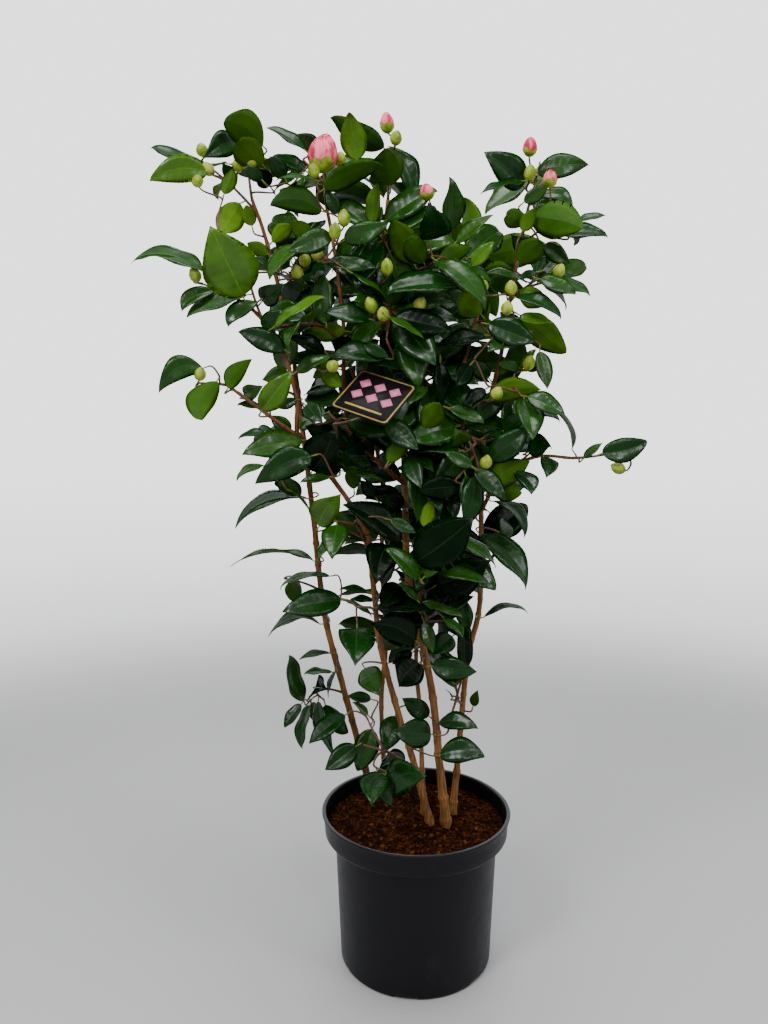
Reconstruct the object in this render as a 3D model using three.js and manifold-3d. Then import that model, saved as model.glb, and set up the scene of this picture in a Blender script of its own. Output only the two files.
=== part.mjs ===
// Camellia shrub, a clump of six stems growing in a round nursery pot.
// Millimetres, +Z up. The origin is the centre of the pot's flat underside; the fuller, two-armed
// face of the shrub looks along -Y. Every limb is one tapering solid, and every mass of foliage is
// one solid of twigs and leaves that grow by a seeded rule inside an ellipsoid of its own.
import * as THREE from "three";
import { mergeVertices } from "three/addons/utils/BufferGeometryUtils.js";
import Module from "manifold-3d";

const wasm = await Module();
wasm.setup();

// Pot: an injection-moulded 7.5 litre container with a deep rolled band under its lip.
const POT_HEIGHT = 210;
const POT_RIM_RADIUS = 129.5;
const POT_BASE_RADIUS = 104;
const POT_SHOULDER_RADIUS = 111.5;
const BAND_HEIGHT = 32;
const BAND_RADIUS = 126;
const WALL = 2.2;
const LIP = 2.6;
const BASE_THICKNESS = 3;
const POT_SIDES = 36;
const FOOT_NOTCHES = 6;
const FOOT_NOTCH = { width: 30, depth: 9, height: 4 };

// Soil: fills the pot to a little below the rim, flat where the stems stand.
const SOIL_TOP = 194;
const SOIL_EDGE = 187;
const SOIL_FLAT_RADIUS = 98;
const SOIL_SIDES = 24;

// Clearance between two solids that meet.
const GAP = 0.3;
// Facets of a mass that lie closer together than this are merged.
const FACET_TOLERANCE = 0.2;

// Limbs
const STEM_SIDES = 6;
const BOUGH_SIDES = 5;
const LIMB_STEP = 56;
const FLARE_HEIGHT = 26;
const FLARE = 0.55;

// Twigs and leaves
const SEED = 20;
const TWIG_SIDES = 3;
const TWIG_STEP = 62;
const TWIG_ROOT_RADIUS = 2.1;
const TWIG_TIP_RADIUS = 1.2;
const SHOOT_LEAST = 0.42;
const LEAF_SPREAD = 0.62;
const LEAF_LENGTH = 86;
const LEAF_WIDTH = 0.54;
const LEAF_THICKNESS = 1.3;
const LEAF_CLEARANCE = 1;
const LEAFLESS_SHARE = 0.12;
const LEAF_SPACING = [2, 18, 35, 53, 72, 92];
const LEAF_TURN = THREE.MathUtils.degToRad(137.5);
const LEAF_SIZES = [1, 0.88, 0.77, 0.67];
const LEAF_SWINGS = [0, 0.5, -0.5, 1, -1, 1.6, -1.6, 2.3, -2.3];
const MASS_DEPTH = 79;
const SMALL_MASS = 105;
const OWN_SPACE = 1.8;
const CROWN_SPACE = 1.12;
const LEAF_FOLD = 0.14;
const PLANT_AXIS = new THREE.Vector2(-20, 20);
const FAN = 3;
const LINE_SAMPLE = 6;
const LINE_CLEARANCE = 7;
const BUD_LENGTH = 17;
const BUD_RADIUS = 6;
const BLOOM_BUD_LENGTH = 50;
const BLOOM_BUD_RADIUS = 19;
const BLOOM_MASS = "leaves_pink_top";

const UP = new THREE.Vector3(0, 0, 1);

// Stems from foot to tip. A foot's height is the soil's top, so only its place is given.
const STEMS = [
  { name: "stem_left", radii: [4.9, 3.4], foot: [-62, 60],
    path: [[-99, 45, 354], [-126, 30, 474], [-139, 18, 608], [-148, 10, 696], [-156, 5, 768]] },
  { name: "stem_leaning", radii: [4.6, 3.4], foot: [17, -19],
    path: [[-8, -32, 301], [-22, -36, 347], [-48, -42, 447], [-57, -46, 525], [-64, -50, 597]] },
  { name: "stem_back", radii: [3.6, 2.9], foot: [-42, 80],
    path: [[-48, 84, 330], [-41, 88, 422], [-47, 92, 540], [-44, 90, 657]] },
  { name: "stem_centre", radii: [5.6, 3.7], foot: [40, -22],
    path: [[32, -20, 272], [22, -14, 368], [6, -8, 451], [-11, -2, 529], [-16, 4, 636], [-20, 6, 807]] },
  { name: "stem_thin", radii: [3.4, 2.6], foot: [11, 6],
    path: [[6, 22, 337], [1, 40, 407], [8, 60, 502], [24, 78, 600], [36, 88, 692]] },
  { name: "stem_right", radii: [4.3, 3.2], foot: [53, 14],
    path: [[57, 18, 242], [65, 22, 342], [72, 22, 416], [86, 18, 484], [87, 14, 554], [85, 4, 716]] },
];

// Boughs from the limb that carries them, at a share of that limb's length, to the place where
// they enter a mass.
const BOUGHS = [
  { name: "bough_left", limb: "stem_leaning", at: 1, radii: [3.2, 2.8],
    path: [[-84, -54, 634], [-118, -58, 682], [-152, -60, 727]] },
  { name: "bough_left_upper", limb: "bough_left", at: 1, radii: [2.7, 2.2],
    path: [[-153, -56, 772], [-170, -50, 828], [-195, -44, 865], [-215, -40, 885]] },
  { name: "bough_left_arm", limb: "bough_left", at: 0.93, radii: [2.4, 1.9],
    path: [[-184, -64, 746], [-213, -68, 768], [-236, -70, 784]] },
  { name: "bough_top_left", limb: "stem_left", at: 1, radii: [3.2, 2.2],
    path: [[-164, 2, 839], [-180, -2, 914], [-197, -4, 979], [-211, -4, 1019]] },
  { name: "bough_pink", limb: "stem_centre", at: 0.76, radii: [2.9, 2.2],
    path: [[-52, -20, 688], [-85, -34, 721], [-94, -38, 782], [-95, -36, 864], [-106, -28, 952],
      [-116, -22, 1008]] },
  { name: "bough_top_centre", limb: "stem_centre", at: 1, radii: [3.4, 2.2],
    path: [[-31, 4, 864], [-41, 0, 921], [-43, -4, 976], [-39, -6, 1018]] },
  { name: "bough_right_centre", limb: "stem_centre", at: 0.74, radii: [2.8, 2.1],
    path: [[13, -18, 693], [27, -30, 735], [49, -36, 792], [63, -38, 835], [73, -38, 872]] },
  { name: "bough_right_top", limb: "stem_right", at: 1, radii: [3, 2.1],
    path: [[94, 0, 768], [107, -6, 825], [117, -10, 896], [127, -10, 950], [136, -8, 999]] },
  { name: "bough_right_arm", limb: "stem_right", at: 0.82, radii: [2.5, 1.8],
    path: [[106, -12, 667], [121, -24, 683], [154, -38, 696], [193, -46, 694]] },
  { name: "bough_back_left", limb: "stem_back", at: 0.97, radii: [2.7, 2],
    path: [[-61, 96, 728], [-90, 98, 813], [-117, 92, 895], [-135, 80, 954]] },
  { name: "bough_back_right", limb: "stem_thin", at: 1, radii: [2.5, 2],
    path: [[50, 96, 770], [66, 98, 855], [82, 90, 929], [91, 78, 987]] },
  { name: "bough_back_top", limb: "stem_back", at: 1, radii: [2.7, 2],
    path: [[-24, 98, 742], [-10, 100, 841], [-2, 92, 930], [-6, 78, 994]] },
];

// Masses of foliage, by the limb that carries them. Each grows from a share of the limb's length,
// inside an ellipsoid that is given by its centre, half its width and half its height.
const FOLIAGE = {
  bough_top_left: [
    { name: "leaves_far_left_top", at: 0.93, centre: [-275, -30, 1055], half: [55, 45], buds: 3 },
    { name: "leaves_left_top", at: 1, centre: [-215, 0, 1060], half: [55, 75], buds: 2 },
  ],
  bough_left_upper: [
    { name: "leaves_left_reach", at: 1, centre: [-310, -45, 915], half: [55, 40] },
    { name: "leaves_left_upper", at: 0.82, centre: [-210, -60, 925], half: [65, 70], buds: 1 },
    { name: "leaves_left_inner", at: 0.25, centre: [-175, -80, 770], half: [45, 55] },
  ],
  bough_left_arm: [
    { name: "leaves_left_arm", at: 1, centre: [-265, -70, 780], half: [55, 45], buds: 1 },
  ],
  bough_left: [
    { name: "leaves_left_middle", at: 0.72, centre: [-165, -85, 680], half: [60, 55] },
  ],
  stem_left: [
    { name: "leaves_left_low", at: 0.56, centre: [-175, 0, 520], half: [70, 65] },
    { name: "leaves_low_left", at: 0.3, centre: [-140, 30, 360], half: [50, 65] },
  ],
  bough_pink: [
    { name: "leaves_pink_top", at: 1, centre: [-120, -20, 1055], half: [65, 60], buds: 1 },
    { name: "leaves_upper_left", at: 0.78, centre: [-135, -30, 950], half: [50, 55], buds: 2 },
    { name: "leaves_mid_upper_left", at: 0.55, centre: [-135, -65, 855], half: [60, 45] },
    { name: "leaves_centre_left", at: 0.32, centre: [-100, -70, 730], half: [50, 65] },
  ],
  bough_top_centre: [
    { name: "leaves_top_centre", at: 1, centre: [-40, -5, 1065], half: [35, 55], buds: 3 },
    { name: "leaves_upper_centre", at: 0.72, centre: [-50, -30, 965], half: [55, 55], buds: 3 },
    { name: "leaves_mid_upper", at: 0.35, centre: [-35, -50, 865], half: [60, 55], buds: 2 },
  ],
  bough_right_centre: [
    { name: "leaves_top_right_centre", at: 1, centre: [40, -30, 945], half: [60, 85], buds: 1 },
    { name: "leaves_centre_right", at: 0.45, centre: [65, -80, 700], half: [55, 55], buds: 1 },
  ],
  bough_right_top: [
    { name: "leaves_right_tip", at: 1, centre: [150, -10, 1050], half: [65, 40], buds: 3 },
    { name: "leaves_right_top", at: 0.86, centre: [170, -30, 980], half: [60, 45], buds: 1 },
    { name: "leaves_right_mid_top", at: 0.62, centre: [150, -40, 910], half: [60, 40], buds: 3 },
    { name: "leaves_right_upper", at: 0.42, centre: [130, -45, 840], half: [55, 40], buds: 1 },
    { name: "leaves_right_lower", at: 0.18, centre: [110, -55, 775], half: [50, 40], buds: 1 },
  ],
  bough_right_arm: [
    { name: "leaves_right_arm_tip", at: 1, centre: [255, -45, 700], half: [60, 40], buds: 1 },
    { name: "leaves_right_arm", at: 0.55, centre: [150, -55, 710], half: [50, 60] },
  ],
  stem_centre: [
    { name: "leaves_centre_dark", at: 0.93, centre: [15, -50, 790], half: [60, 55] },
    { name: "leaves_centre", at: 0.78, centre: [-15, -50, 695], half: [55, 55] },
    { name: "leaves_centre_low", at: 0.6, centre: [30, -60, 585], half: [60, 60], buds: 1 },
    { name: "leaves_low_middle", at: 0.44, centre: [20, -50, 485], half: [60, 50] },
  ],
  stem_leaning: [
    { name: "leaves_centre_left_low", at: 0.93, centre: [-85, -95, 620], half: [55, 50] },
    { name: "leaves_low_left_middle", at: 0.74, centre: [-60, -90, 505], half: [50, 50] },
    { name: "leaves_foot", at: 0.22, centre: [-55, -40, 305], half: [75, 65] },
  ],
  stem_right: [
    { name: "leaves_right_low", at: 0.66, centre: [110, -20, 560], half: [40, 75] },
    { name: "leaves_low_right", at: 0.3, centre: [50, -10, 355], half: [40, 80] },
  ],
  bough_back_left: [
    { name: "leaves_back_left", at: 1, centre: [-165, 90, 930], half: [65, 85], buds: 1 },
    { name: "leaves_back_middle_left", at: 0.35, centre: [-100, 110, 740], half: [60, 85] },
  ],
  bough_back_right: [
    { name: "leaves_back_right", at: 1, centre: [85, 90, 955], half: [60, 90], buds: 1 },
    { name: "leaves_back_middle_right", at: 0.3, centre: [80, 110, 720], half: [60, 80] },
  ],
  bough_back_top: [
    { name: "leaves_back_top", at: 1, centre: [-10, 100, 985], half: [55, 75], buds: 2 },
  ],
  stem_thin: [
    { name: "leaves_back_low", at: 0.62, centre: [15, 85, 495], half: [60, 70] },
  ],
};

const MASSES = Object.entries(FOLIAGE).flatMap(([limb, masses]) =>
  masses.map((mass) => ({
    ...mass,
    limb,
    reach: [mass.half[0], MASS_DEPTH, mass.half[1]],
    shoots: mass.half[0] + mass.half[1] > SMALL_MASS ? 4 : 3,
  })),
);

const materials = {
  pot: new THREE.MeshStandardMaterial({ color: 0x23282e, roughness: 0.5, metalness: 0 }),
  soil: new THREE.MeshStandardMaterial({ color: 0x5a2d13, roughness: 0.95, metalness: 0 }),
  bark: new THREE.MeshStandardMaterial({ color: 0x8a5a35, roughness: 0.75, metalness: 0 }),
  foliage: new THREE.MeshStandardMaterial({ color: 0x1d4a1c, roughness: 0.35, metalness: 0 }),
};

const vector = ([x, y, z]) => new THREE.Vector3(x, y, z);

// A closed geometry as a solid whose faces point out.
function toSolid(geometry) {
  const bare = geometry.clone();
  bare.deleteAttribute("normal");
  bare.deleteAttribute("uv");
  const merged = mergeVertices(bare, 1e-4);
  const corners = new Uint32Array(merged.index.array);
  const solid = new wasm.Manifold(
    new wasm.Mesh({ numProp: 3, vertProperties: merged.attributes.position.array, triVerts: corners }),
  );
  if (solid.volume() >= 0) return solid;
  for (let i = 0; i < corners.length; i += 3) [corners[i], corners[i + 1]] = [corners[i + 1], corners[i]];
  return new wasm.Manifold(
    new wasm.Mesh({ numProp: 3, vertProperties: merged.attributes.position.array, triVerts: corners }),
  );
}

// The largest body of a solid, as a named mesh. A loose scrap is dropped.
function toMesh(name, solid, material) {
  const body = largestBody(solid).getMesh();
  const geometry = new THREE.BufferGeometry();
  geometry.setAttribute("position", new THREE.BufferAttribute(new Float32Array(body.vertProperties), 3));
  geometry.setIndex(new THREE.BufferAttribute(new Uint32Array(body.triVerts), 1));
  geometry.computeVertexNormals();
  const mesh = new THREE.Mesh(geometry, material);
  mesh.name = name;
  return mesh;
}

function largestBody(solid) {
  return solid.decompose().reduce((best, body) => (body.volume() > best.volume() ? body : best));
}

function boxesMeet(a, b) {
  const [one, two] = [a.boundingBox(), b.boundingBox()];
  return [0, 1, 2].every((axis) => one.min[axis] <= two.max[axis] && two.min[axis] <= one.max[axis]);
}

// Whether two solids share any space.
function overlap(a, b) {
  if (!boxesMeet(a, b)) return false;
  const shared = a.intersect(b);
  const found = shared.volume() > 0;
  shared.delete();
  return found;
}

// A solid without the space of those of the others that it meets.
function cutClear(solid, others) {
  const near = others.filter((other) => boxesMeet(solid, other));
  return near.reduce((rest, other) => rest.subtract(other), solid);
}

// A repeatable stream of numbers from 0 to 1.
function seededRandom(seed) {
  let state = seed >>> 0;
  return () => {
    state = (state + 0x6d2b79f5) >>> 0;
    let mixed = Math.imul(state ^ (state >>> 15), state | 1);
    mixed = (mixed + Math.imul(mixed ^ (mixed >>> 7), mixed | 61)) ^ mixed;
    return ((mixed ^ (mixed >>> 14)) >>> 0) / 4294967296;
  };
}

// A profile of [radius, height] points, turned about the Z axis.
function turned(profile, sides) {
  const lathe = new THREE.LatheGeometry(profile.map(([r, z]) => new THREE.Vector2(r, z)), sides);
  return toSolid(lathe.rotateX(Math.PI / 2));
}

function potSolid() {
  const bandFoot = POT_HEIGHT - BAND_HEIGHT;
  const innerBand = BAND_RADIUS - WALL;
  const outside = [
    [0, 0],
    [POT_BASE_RADIUS - 3, 0],
    [POT_BASE_RADIUS, 3],
    [POT_SHOULDER_RADIUS, bandFoot],
    [BAND_RADIUS - 3, bandFoot],
    [BAND_RADIUS - 0.6, bandFoot + 3],
    [BAND_RADIUS + 1, POT_HEIGHT - LIP],
    [POT_RIM_RADIUS, POT_HEIGHT - LIP],
    [POT_RIM_RADIUS, POT_HEIGHT - 0.8],
    [POT_RIM_RADIUS - 1, POT_HEIGHT],
  ];
  const inside = [
    [innerBand + 1, POT_HEIGHT],
    [innerBand, POT_HEIGHT - LIP],
    [innerBand - 1, bandFoot + WALL],
    [POT_SHOULDER_RADIUS - WALL, bandFoot - WALL],
    [POT_BASE_RADIUS - WALL, BASE_THICKNESS],
    [0, BASE_THICKNESS],
  ];
  let pot = turned([...outside, ...inside], POT_SIDES);
  for (let i = 0; i < FOOT_NOTCHES; i++) {
    const notch = new THREE.BoxGeometry(FOOT_NOTCH.depth * 2, FOOT_NOTCH.width, FOOT_NOTCH.height)
      .translate(POT_BASE_RADIUS, 0, 0)
      .rotateZ(((i + 0.35) / FOOT_NOTCHES) * 2 * Math.PI);
    pot = pot.subtract(toSolid(notch));
  }
  return pot;
}

function soilSolid() {
  const bandFoot = POT_HEIGHT - BAND_HEIGHT;
  const profile = [
    [0, BASE_THICKNESS + GAP],
    [POT_BASE_RADIUS - WALL - GAP, BASE_THICKNESS + GAP],
    [POT_SHOULDER_RADIUS - WALL - GAP - 0.2, bandFoot - WALL],
    [BAND_RADIUS - WALL - 2.5, bandFoot + WALL + 1],
    [BAND_RADIUS - WALL - 3, SOIL_EDGE - 2],
    [BAND_RADIUS - WALL - 8, SOIL_EDGE],
    [SOIL_FLAT_RADIUS, SOIL_TOP],
    [0, SOIL_TOP],
  ];
  return turned(profile, SOIL_SIDES);
}

// A smooth curve as straight chords of nearly equal length: the axis of a faceted tube.
class ChordPath extends THREE.Curve {
  constructor(curve, steps) {
    super();
    this.steps = steps;
    this.points = curve.getSpacedPoints(steps);
  }

  getPoint(share, target = new THREE.Vector3()) {
    const chord = Math.min(Math.floor(share * this.steps), this.steps - 1);
    return target.lerpVectors(this.points[chord], this.points[chord + 1], share * this.steps - chord);
  }
}

function chordsThrough(points, step) {
  const curve = new THREE.CatmullRomCurve3(points, false, "catmullrom", 0.5);
  return new ChordPath(curve, Math.max(3, Math.round(curve.getLength() / step)));
}

// A closed tube along a path, of a radius that changes along it.
function taperedTube(path, radiusAt, sides) {
  const { steps } = path;
  const frames = path.computeFrenetFrames(steps, false);
  const positions = [];
  const index = [];
  for (let i = 0; i <= steps; i++) {
    const centre = path.points[i];
    const radius = radiusAt(i / steps);
    for (let j = 0; j < sides; j++) {
      const angle = (j / sides) * 2 * Math.PI;
      const point = centre
        .clone()
        .addScaledVector(frames.normals[i], Math.cos(angle) * radius)
        .addScaledVector(frames.binormals[i], Math.sin(angle) * radius);
      positions.push(...point);
    }
  }
  for (let i = 0; i < steps; i++) {
    for (let j = 0; j < sides; j++) {
      const a = i * sides + j;
      const b = i * sides + ((j + 1) % sides);
      index.push(a, b, a + sides, b, b + sides, a + sides);
    }
  }
  const last = steps * sides;
  for (let j = 1; j < sides - 1; j++) {
    index.push(0, j + 1, j, last, last + j, last + j + 1);
  }
  const geometry = new THREE.BufferGeometry();
  geometry.setAttribute("position", new THREE.Float32BufferAttribute(positions, 3));
  geometry.setIndex(index);
  return toSolid(geometry);
}

// A limb: its path, its radius along it, its solid, and the sample points that leaves keep off.
function makeLimb(name, path, radii, sides, flare) {
  const length = path.getLength();
  const radiusAt = (share, swell = 0) => {
    const taper = THREE.MathUtils.lerp(radii[0], radii[1], share);
    const spread = 1 + flare * Math.exp((-share * length) / FLARE_HEIGHT);
    return taper * spread + swell;
  };
  const samples = linePoints(path);
  return {
    name,
    path,
    samples: samples.map((point, i) => ({ point, radius: radiusAt(i / (samples.length - 1)) })),
    solid: taperedTube(path, radiusAt, sides),
    swollen: taperedTube(path, (share) => radiusAt(share, GAP), sides),
  };
}

// Where a limb or a twig starts on the one that carries it: past its tip, or on its axis.
function rootOn(limb, at) {
  const point = limb.path.getPoint(at);
  const heading = limb.path.getTangent(at);
  return { point: at < 1 ? point : point.addScaledVector(heading, GAP * 2), heading };
}

const limbs = new Map();
const swollenLimbs = () => [...limbs.values()].map((limb) => limb.swollen);

function growStem({ name, radii, foot, path }) {
  const below = new THREE.Vector3(foot[0], foot[1], SOIL_TOP - 6);
  const points = [below, new THREE.Vector3(foot[0], foot[1], SOIL_TOP + 8), ...path.map(vector)];
  const limb = makeLimb(name, chordsThrough(points, LIMB_STEP), radii, STEM_SIDES, FLARE);
  limb.solid = limb.solid.trimByPlane([0, 0, 1], SOIL_TOP + GAP);
  limbs.set(name, limb);
}

function growBough({ name, limb: carrier, at, radii, path }) {
  const root = rootOn(limbs.get(carrier), at);
  const axis = chordsThrough([root.point, ...path.map(vector)], LIMB_STEP);
  const limb = makeLimb(name, axis, radii, BOUGH_SIDES, 0);
  limb.solid = largestBody(cutClear(limb.solid, swollenLimbs()));
  limbs.set(name, limb);
}

STEMS.forEach(growStem);
BOUGHS.forEach(growBough);

// Foliage -------------------------------------------------------------------------------------

const leaves = [];
const twigLines = [];
const foliage = [];

// How far a point lies from the centre of a mass's space, as a share of its reach.
function shareOut(mass, point) {
  return Math.hypot(
    (point.x - mass.centre[0]) / mass.reach[0],
    (point.y - mass.centre[1]) / mass.reach[1],
    (point.z - mass.centre[2]) / mass.reach[2],
  );
}

// Whether a leaf's tip stays by its own mass and within the crown.
function inOwnSpace(mass, point) {
  return shareOut(mass, point) <= OWN_SPACE && MASSES.some((other) => shareOut(other, point) <= CROWN_SPACE);
}

// Half of a leaf's width at a share of its length: broadest below the middle, with a drawn tip.
function halfWidth(leaf, share) {
  return leaf.length * LEAF_WIDTH * 0.5 * Math.pow(Math.sin(Math.PI * Math.pow(share, 0.85)), 0.8);
}

// Height of a leaf's surface over its own flat plane: sides fold up, the rib bends down.
function surfaceHeight(leaf, along, aside) {
  return LEAF_FOLD * Math.abs(aside) - (leaf.droop * along * along) / leaf.length;
}

function leafPoint(leaf, share, side) {
  const along = share * leaf.length;
  const aside = side * halfWidth(leaf, share);
  return leaf.base
    .clone()
    .addScaledVector(leaf.along, along)
    .addScaledVector(leaf.aside, aside)
    .addScaledVector(leaf.normal, surfaceHeight(leaf, along, aside));
}

const RIM_SHARES = [0, 0.2, 0.4, 0.6, 0.8, 1];

// The rib and both edges of a leaf, as lines that another leaf may not cut.
function leafLines(leaf) {
  return [-1, 0, 1].map((side) => RIM_SHARES.map((share) => leafPoint(leaf, share, side)));
}

// Where a point lies over a leaf: its height over the surface, if it is within the outline.
function overLeaf(leaf, point, margin) {
  const offset = point.clone().sub(leaf.base);
  const along = offset.dot(leaf.along);
  const aside = offset.dot(leaf.aside);
  const share = along / leaf.length;
  const inside = share > 0.1 && share < 1 && Math.abs(aside) < halfWidth(leaf, share) + margin;
  return { inside, height: offset.dot(leaf.normal) - surfaceHeight(leaf, along, aside) };
}

// Whether a line with a thickness passes through a leaf's blade.
function lineCutsLeaf(leaf, points, radius) {
  let before = null;
  for (const point of points) {
    const now = overLeaf(leaf, point, radius);
    if (now.inside && Math.abs(now.height) < radius + 1) return true;
    if (before && (now.inside || before.inside) && now.height * before.height < 0) return true;
    before = now;
  }
  return false;
}

function linePoints(path) {
  return path.getSpacedPoints(Math.ceil(path.getLength() / LINE_SAMPLE));
}

// Whether a line of points runs into a limb, or into a twig other than its own mass's.
function lineIsBlocked(points, ownTwigs) {
  const others = twigLines.filter((twig) => !ownTwigs.includes(twig)).map((twig) => twig.points);
  const limbLines = [...limbs.values()].map((limb) => limb.samples.map((sample) => sample.point));
  return [...others, ...limbLines].some((line) =>
    line.some((other) => points.some((point) => point.distanceTo(other) < LINE_CLEARANCE)),
  );
}

function isNear(leaf, point, distance) {
  return leaf.middle.distanceTo(point) < leaf.length * 0.62 + distance;
}

function touchesLimb(leaf) {
  for (const limb of limbs.values()) {
    const near = limb.samples.filter((sample) => isNear(leaf, sample.point, 8));
    if (near.length && lineCutsLeaf(leaf, near.map((sample) => sample.point), near[0].radius)) return true;
  }
  return false;
}

function touchesTwig(leaf) {
  return twigLines.some((line) => {
    if (line === leaf.twig) return false;
    const near = line.points.filter((point) => isNear(leaf, point, 4));
    return near.length > 0 && lineCutsLeaf(leaf, near, TWIG_ROOT_RADIUS);
  });
}

function touchesLeaf(leaf) {
  return leaves.some((other) => {
    if (!isNear(leaf, other.middle, other.length * 0.62)) return false;
    const cuts = leafLines(other).some((line) => lineCutsLeaf(leaf, line, 0));
    return cuts || leafLines(leaf).some((line) => lineCutsLeaf(other, line, 0));
  });
}

// A closed blade: six points round the outline, and one over and one under the rib.
function leafSolid(leaf, thickness) {
  const ring = [
    [0, 0],
    [0.3, -1],
    [0.66, -1],
    [1, 0],
    [0.66, 1],
    [0.3, 1],
  ].map(([share, side]) => leafPoint(leaf, share, side));
  const rib = leafPoint(leaf, 0.45, 0);
  const over = rib.clone().addScaledVector(leaf.normal, thickness / 2);
  const under = rib.clone().addScaledVector(leaf.normal, -thickness / 2);
  const positions = [...ring, over, under].flatMap((point) => [...point]);
  const index = [];
  ring.forEach((_, i) => {
    const next = (i + 1) % ring.length;
    index.push(6, i, next, 7, next, i);
  });
  const geometry = new THREE.BufferGeometry();
  geometry.setAttribute("position", new THREE.Float32BufferAttribute(positions, 3));
  geometry.setIndex(index);
  return toSolid(geometry);
}

// A leaf at a point of a twig, turned about it, with its face to the light and outward.
function makeLeaf(twig, point, heading, { turn, spread, size, droop, tilt }) {
  const outward = new THREE.Vector3(point.x - PLANT_AXIS.x, (point.y - PLANT_AXIS.y) * FAN, 0);
  outward.normalize();
  const sideways = new THREE.Vector3().crossVectors(heading, UP).normalize();
  const across = sideways.clone().applyAxisAngle(heading, turn);
  const along = heading
    .clone()
    .multiplyScalar(Math.cos(spread))
    .addScaledVector(across, Math.sin(spread))
    .addScaledVector(UP, -0.22)
    .normalize();
  const light = UP.clone().multiplyScalar(0.62).addScaledVector(outward, 0.74).add(tilt);
  const normal = light.addScaledVector(along, -light.dot(along)).normalize();
  const aside = new THREE.Vector3().crossVectors(normal, along);
  const leaf = { twig, base: point.clone(), along, aside, normal, length: LEAF_LENGTH * size, droop };
  leaf.middle = leafPoint(leaf, 0.5, 0);
  return leaf;
}

// The leaf at the largest size that stays in its mass's space and clear of all else.
function fitLeaf(mass, twig, point, heading, draw) {
  const tries = LEAF_SIZES.flatMap((shrink) => LEAF_SWINGS.map((swing) => [shrink, swing]));
  for (const [shrink, swing] of tries) {
    const size = draw.size * shrink;
    const leaf = makeLeaf(twig, point, heading, { ...draw, size, turn: draw.turn + swing });
    if (!inOwnSpace(mass, leafPoint(leaf, 1, 0))) continue;
    if (touchesLimb(leaf) || touchesTwig(leaf) || touchesLeaf(leaf)) continue;
    const padded = leafSolid(leaf, LEAF_THICKNESS + LEAF_CLEARANCE);
    const others = foliage.filter((other) => other.mass !== mass);
    const clear = !others.some((other) => other.solids.some((solid) => overlap(padded, solid)));
    padded.delete();
    if (clear) return leaf;
  }
  return null;
}

function drawLeaf(random, order, firstTurn) {
  return {
    turn: firstTurn + order * LEAF_TURN + (random() - 0.5) * 0.7,
    spread: THREE.MathUtils.degToRad(28 + Math.min(order, 3) * 12 + (random() - 0.5) * 16),
    size: 0.8 + 0.32 * random() + (order > 0 ? 0.06 : -0.08),
    droop: 0.1 + 0.2 * random(),
    tilt: new THREE.Vector3(random() - 0.5, random() - 0.5, random() - 0.5).multiplyScalar(0.7),
  };
}

function twigPath(from, bend, to) {
  const curve = new THREE.QuadraticBezierCurve3(from, bend, to);
  return new ChordPath(curve, Math.max(1, Math.round(curve.getLength() / TWIG_STEP)));
}

// A twig of a mass. Its leaves are drawn now, and grown once every twig is in place.
function addTwig(growth, path, random) {
  const length = path.getLength();
  const radiusAt = (share) => THREE.MathUtils.lerp(TWIG_ROOT_RADIUS, TWIG_TIP_RADIUS, share);
  const firstTurn = random() * 2 * Math.PI;
  const draws = LEAF_SPACING.map((_, order) => drawLeaf(random, order, firstTurn));
  const twig = { path, length, draws, points: linePoints(path) };
  twigLines.push(twig);
  growth.twigs.push(twig);
  growth.solids.push(taperedTube(path, radiusAt, TWIG_SIDES));
}

function growLeaves(growth) {
  for (const twig of growth.twigs) {
    LEAF_SPACING.forEach((fromTip, order) => {
      const share = 1 - fromTip / twig.length;
      if (share < LEAFLESS_SHARE) return;
      const at = twig.path.getPoint(share);
      const leaf = fitLeaf(growth.mass, twig, at, twig.path.getTangent(share), twig.draws[order]);
      if (!leaf) return;
      leaves.push(leaf);
      growth.solids.push(leafSolid(leaf, LEAF_THICKNESS));
    });
  }
}

// Where the shoots of a mass end: spread evenly round its axis, from its far end backwards.
function shootEnd(mass, axis, number, turn) {
  const fall = (number / mass.shoots) * 1.75;
  const level = 1 - fall;
  const ring = Math.sqrt(Math.max(0, 1 - level * level));
  const side = new THREE.Vector3().crossVectors(axis, UP);
  if (side.length() < 0.2) side.set(1, 0, 0);
  side.normalize().applyAxisAngle(axis, turn);
  const direction = axis.clone().multiplyScalar(level).addScaledVector(side, ring);
  const out = direction.multiply(vector(mass.reach));
  const share = Math.max(SHOOT_LEAST, 1 - (LEAF_SPREAD * LEAF_LENGTH) / out.length());
  return vector(mass.centre).addScaledVector(out, share);
}

function budSolid(tip, heading, length, radius) {
  const bud = new THREE.SphereGeometry(radius, 5, 3);
  bud.scale(1, length / (2 * radius), 1).translate(0, length * 0.42, 0);
  bud.applyQuaternion(new THREE.Quaternion().setFromUnitVectors(new THREE.Vector3(0, 1, 0), heading));
  return toSolid(bud.translate(tip.x, tip.y, tip.z));
}

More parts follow.
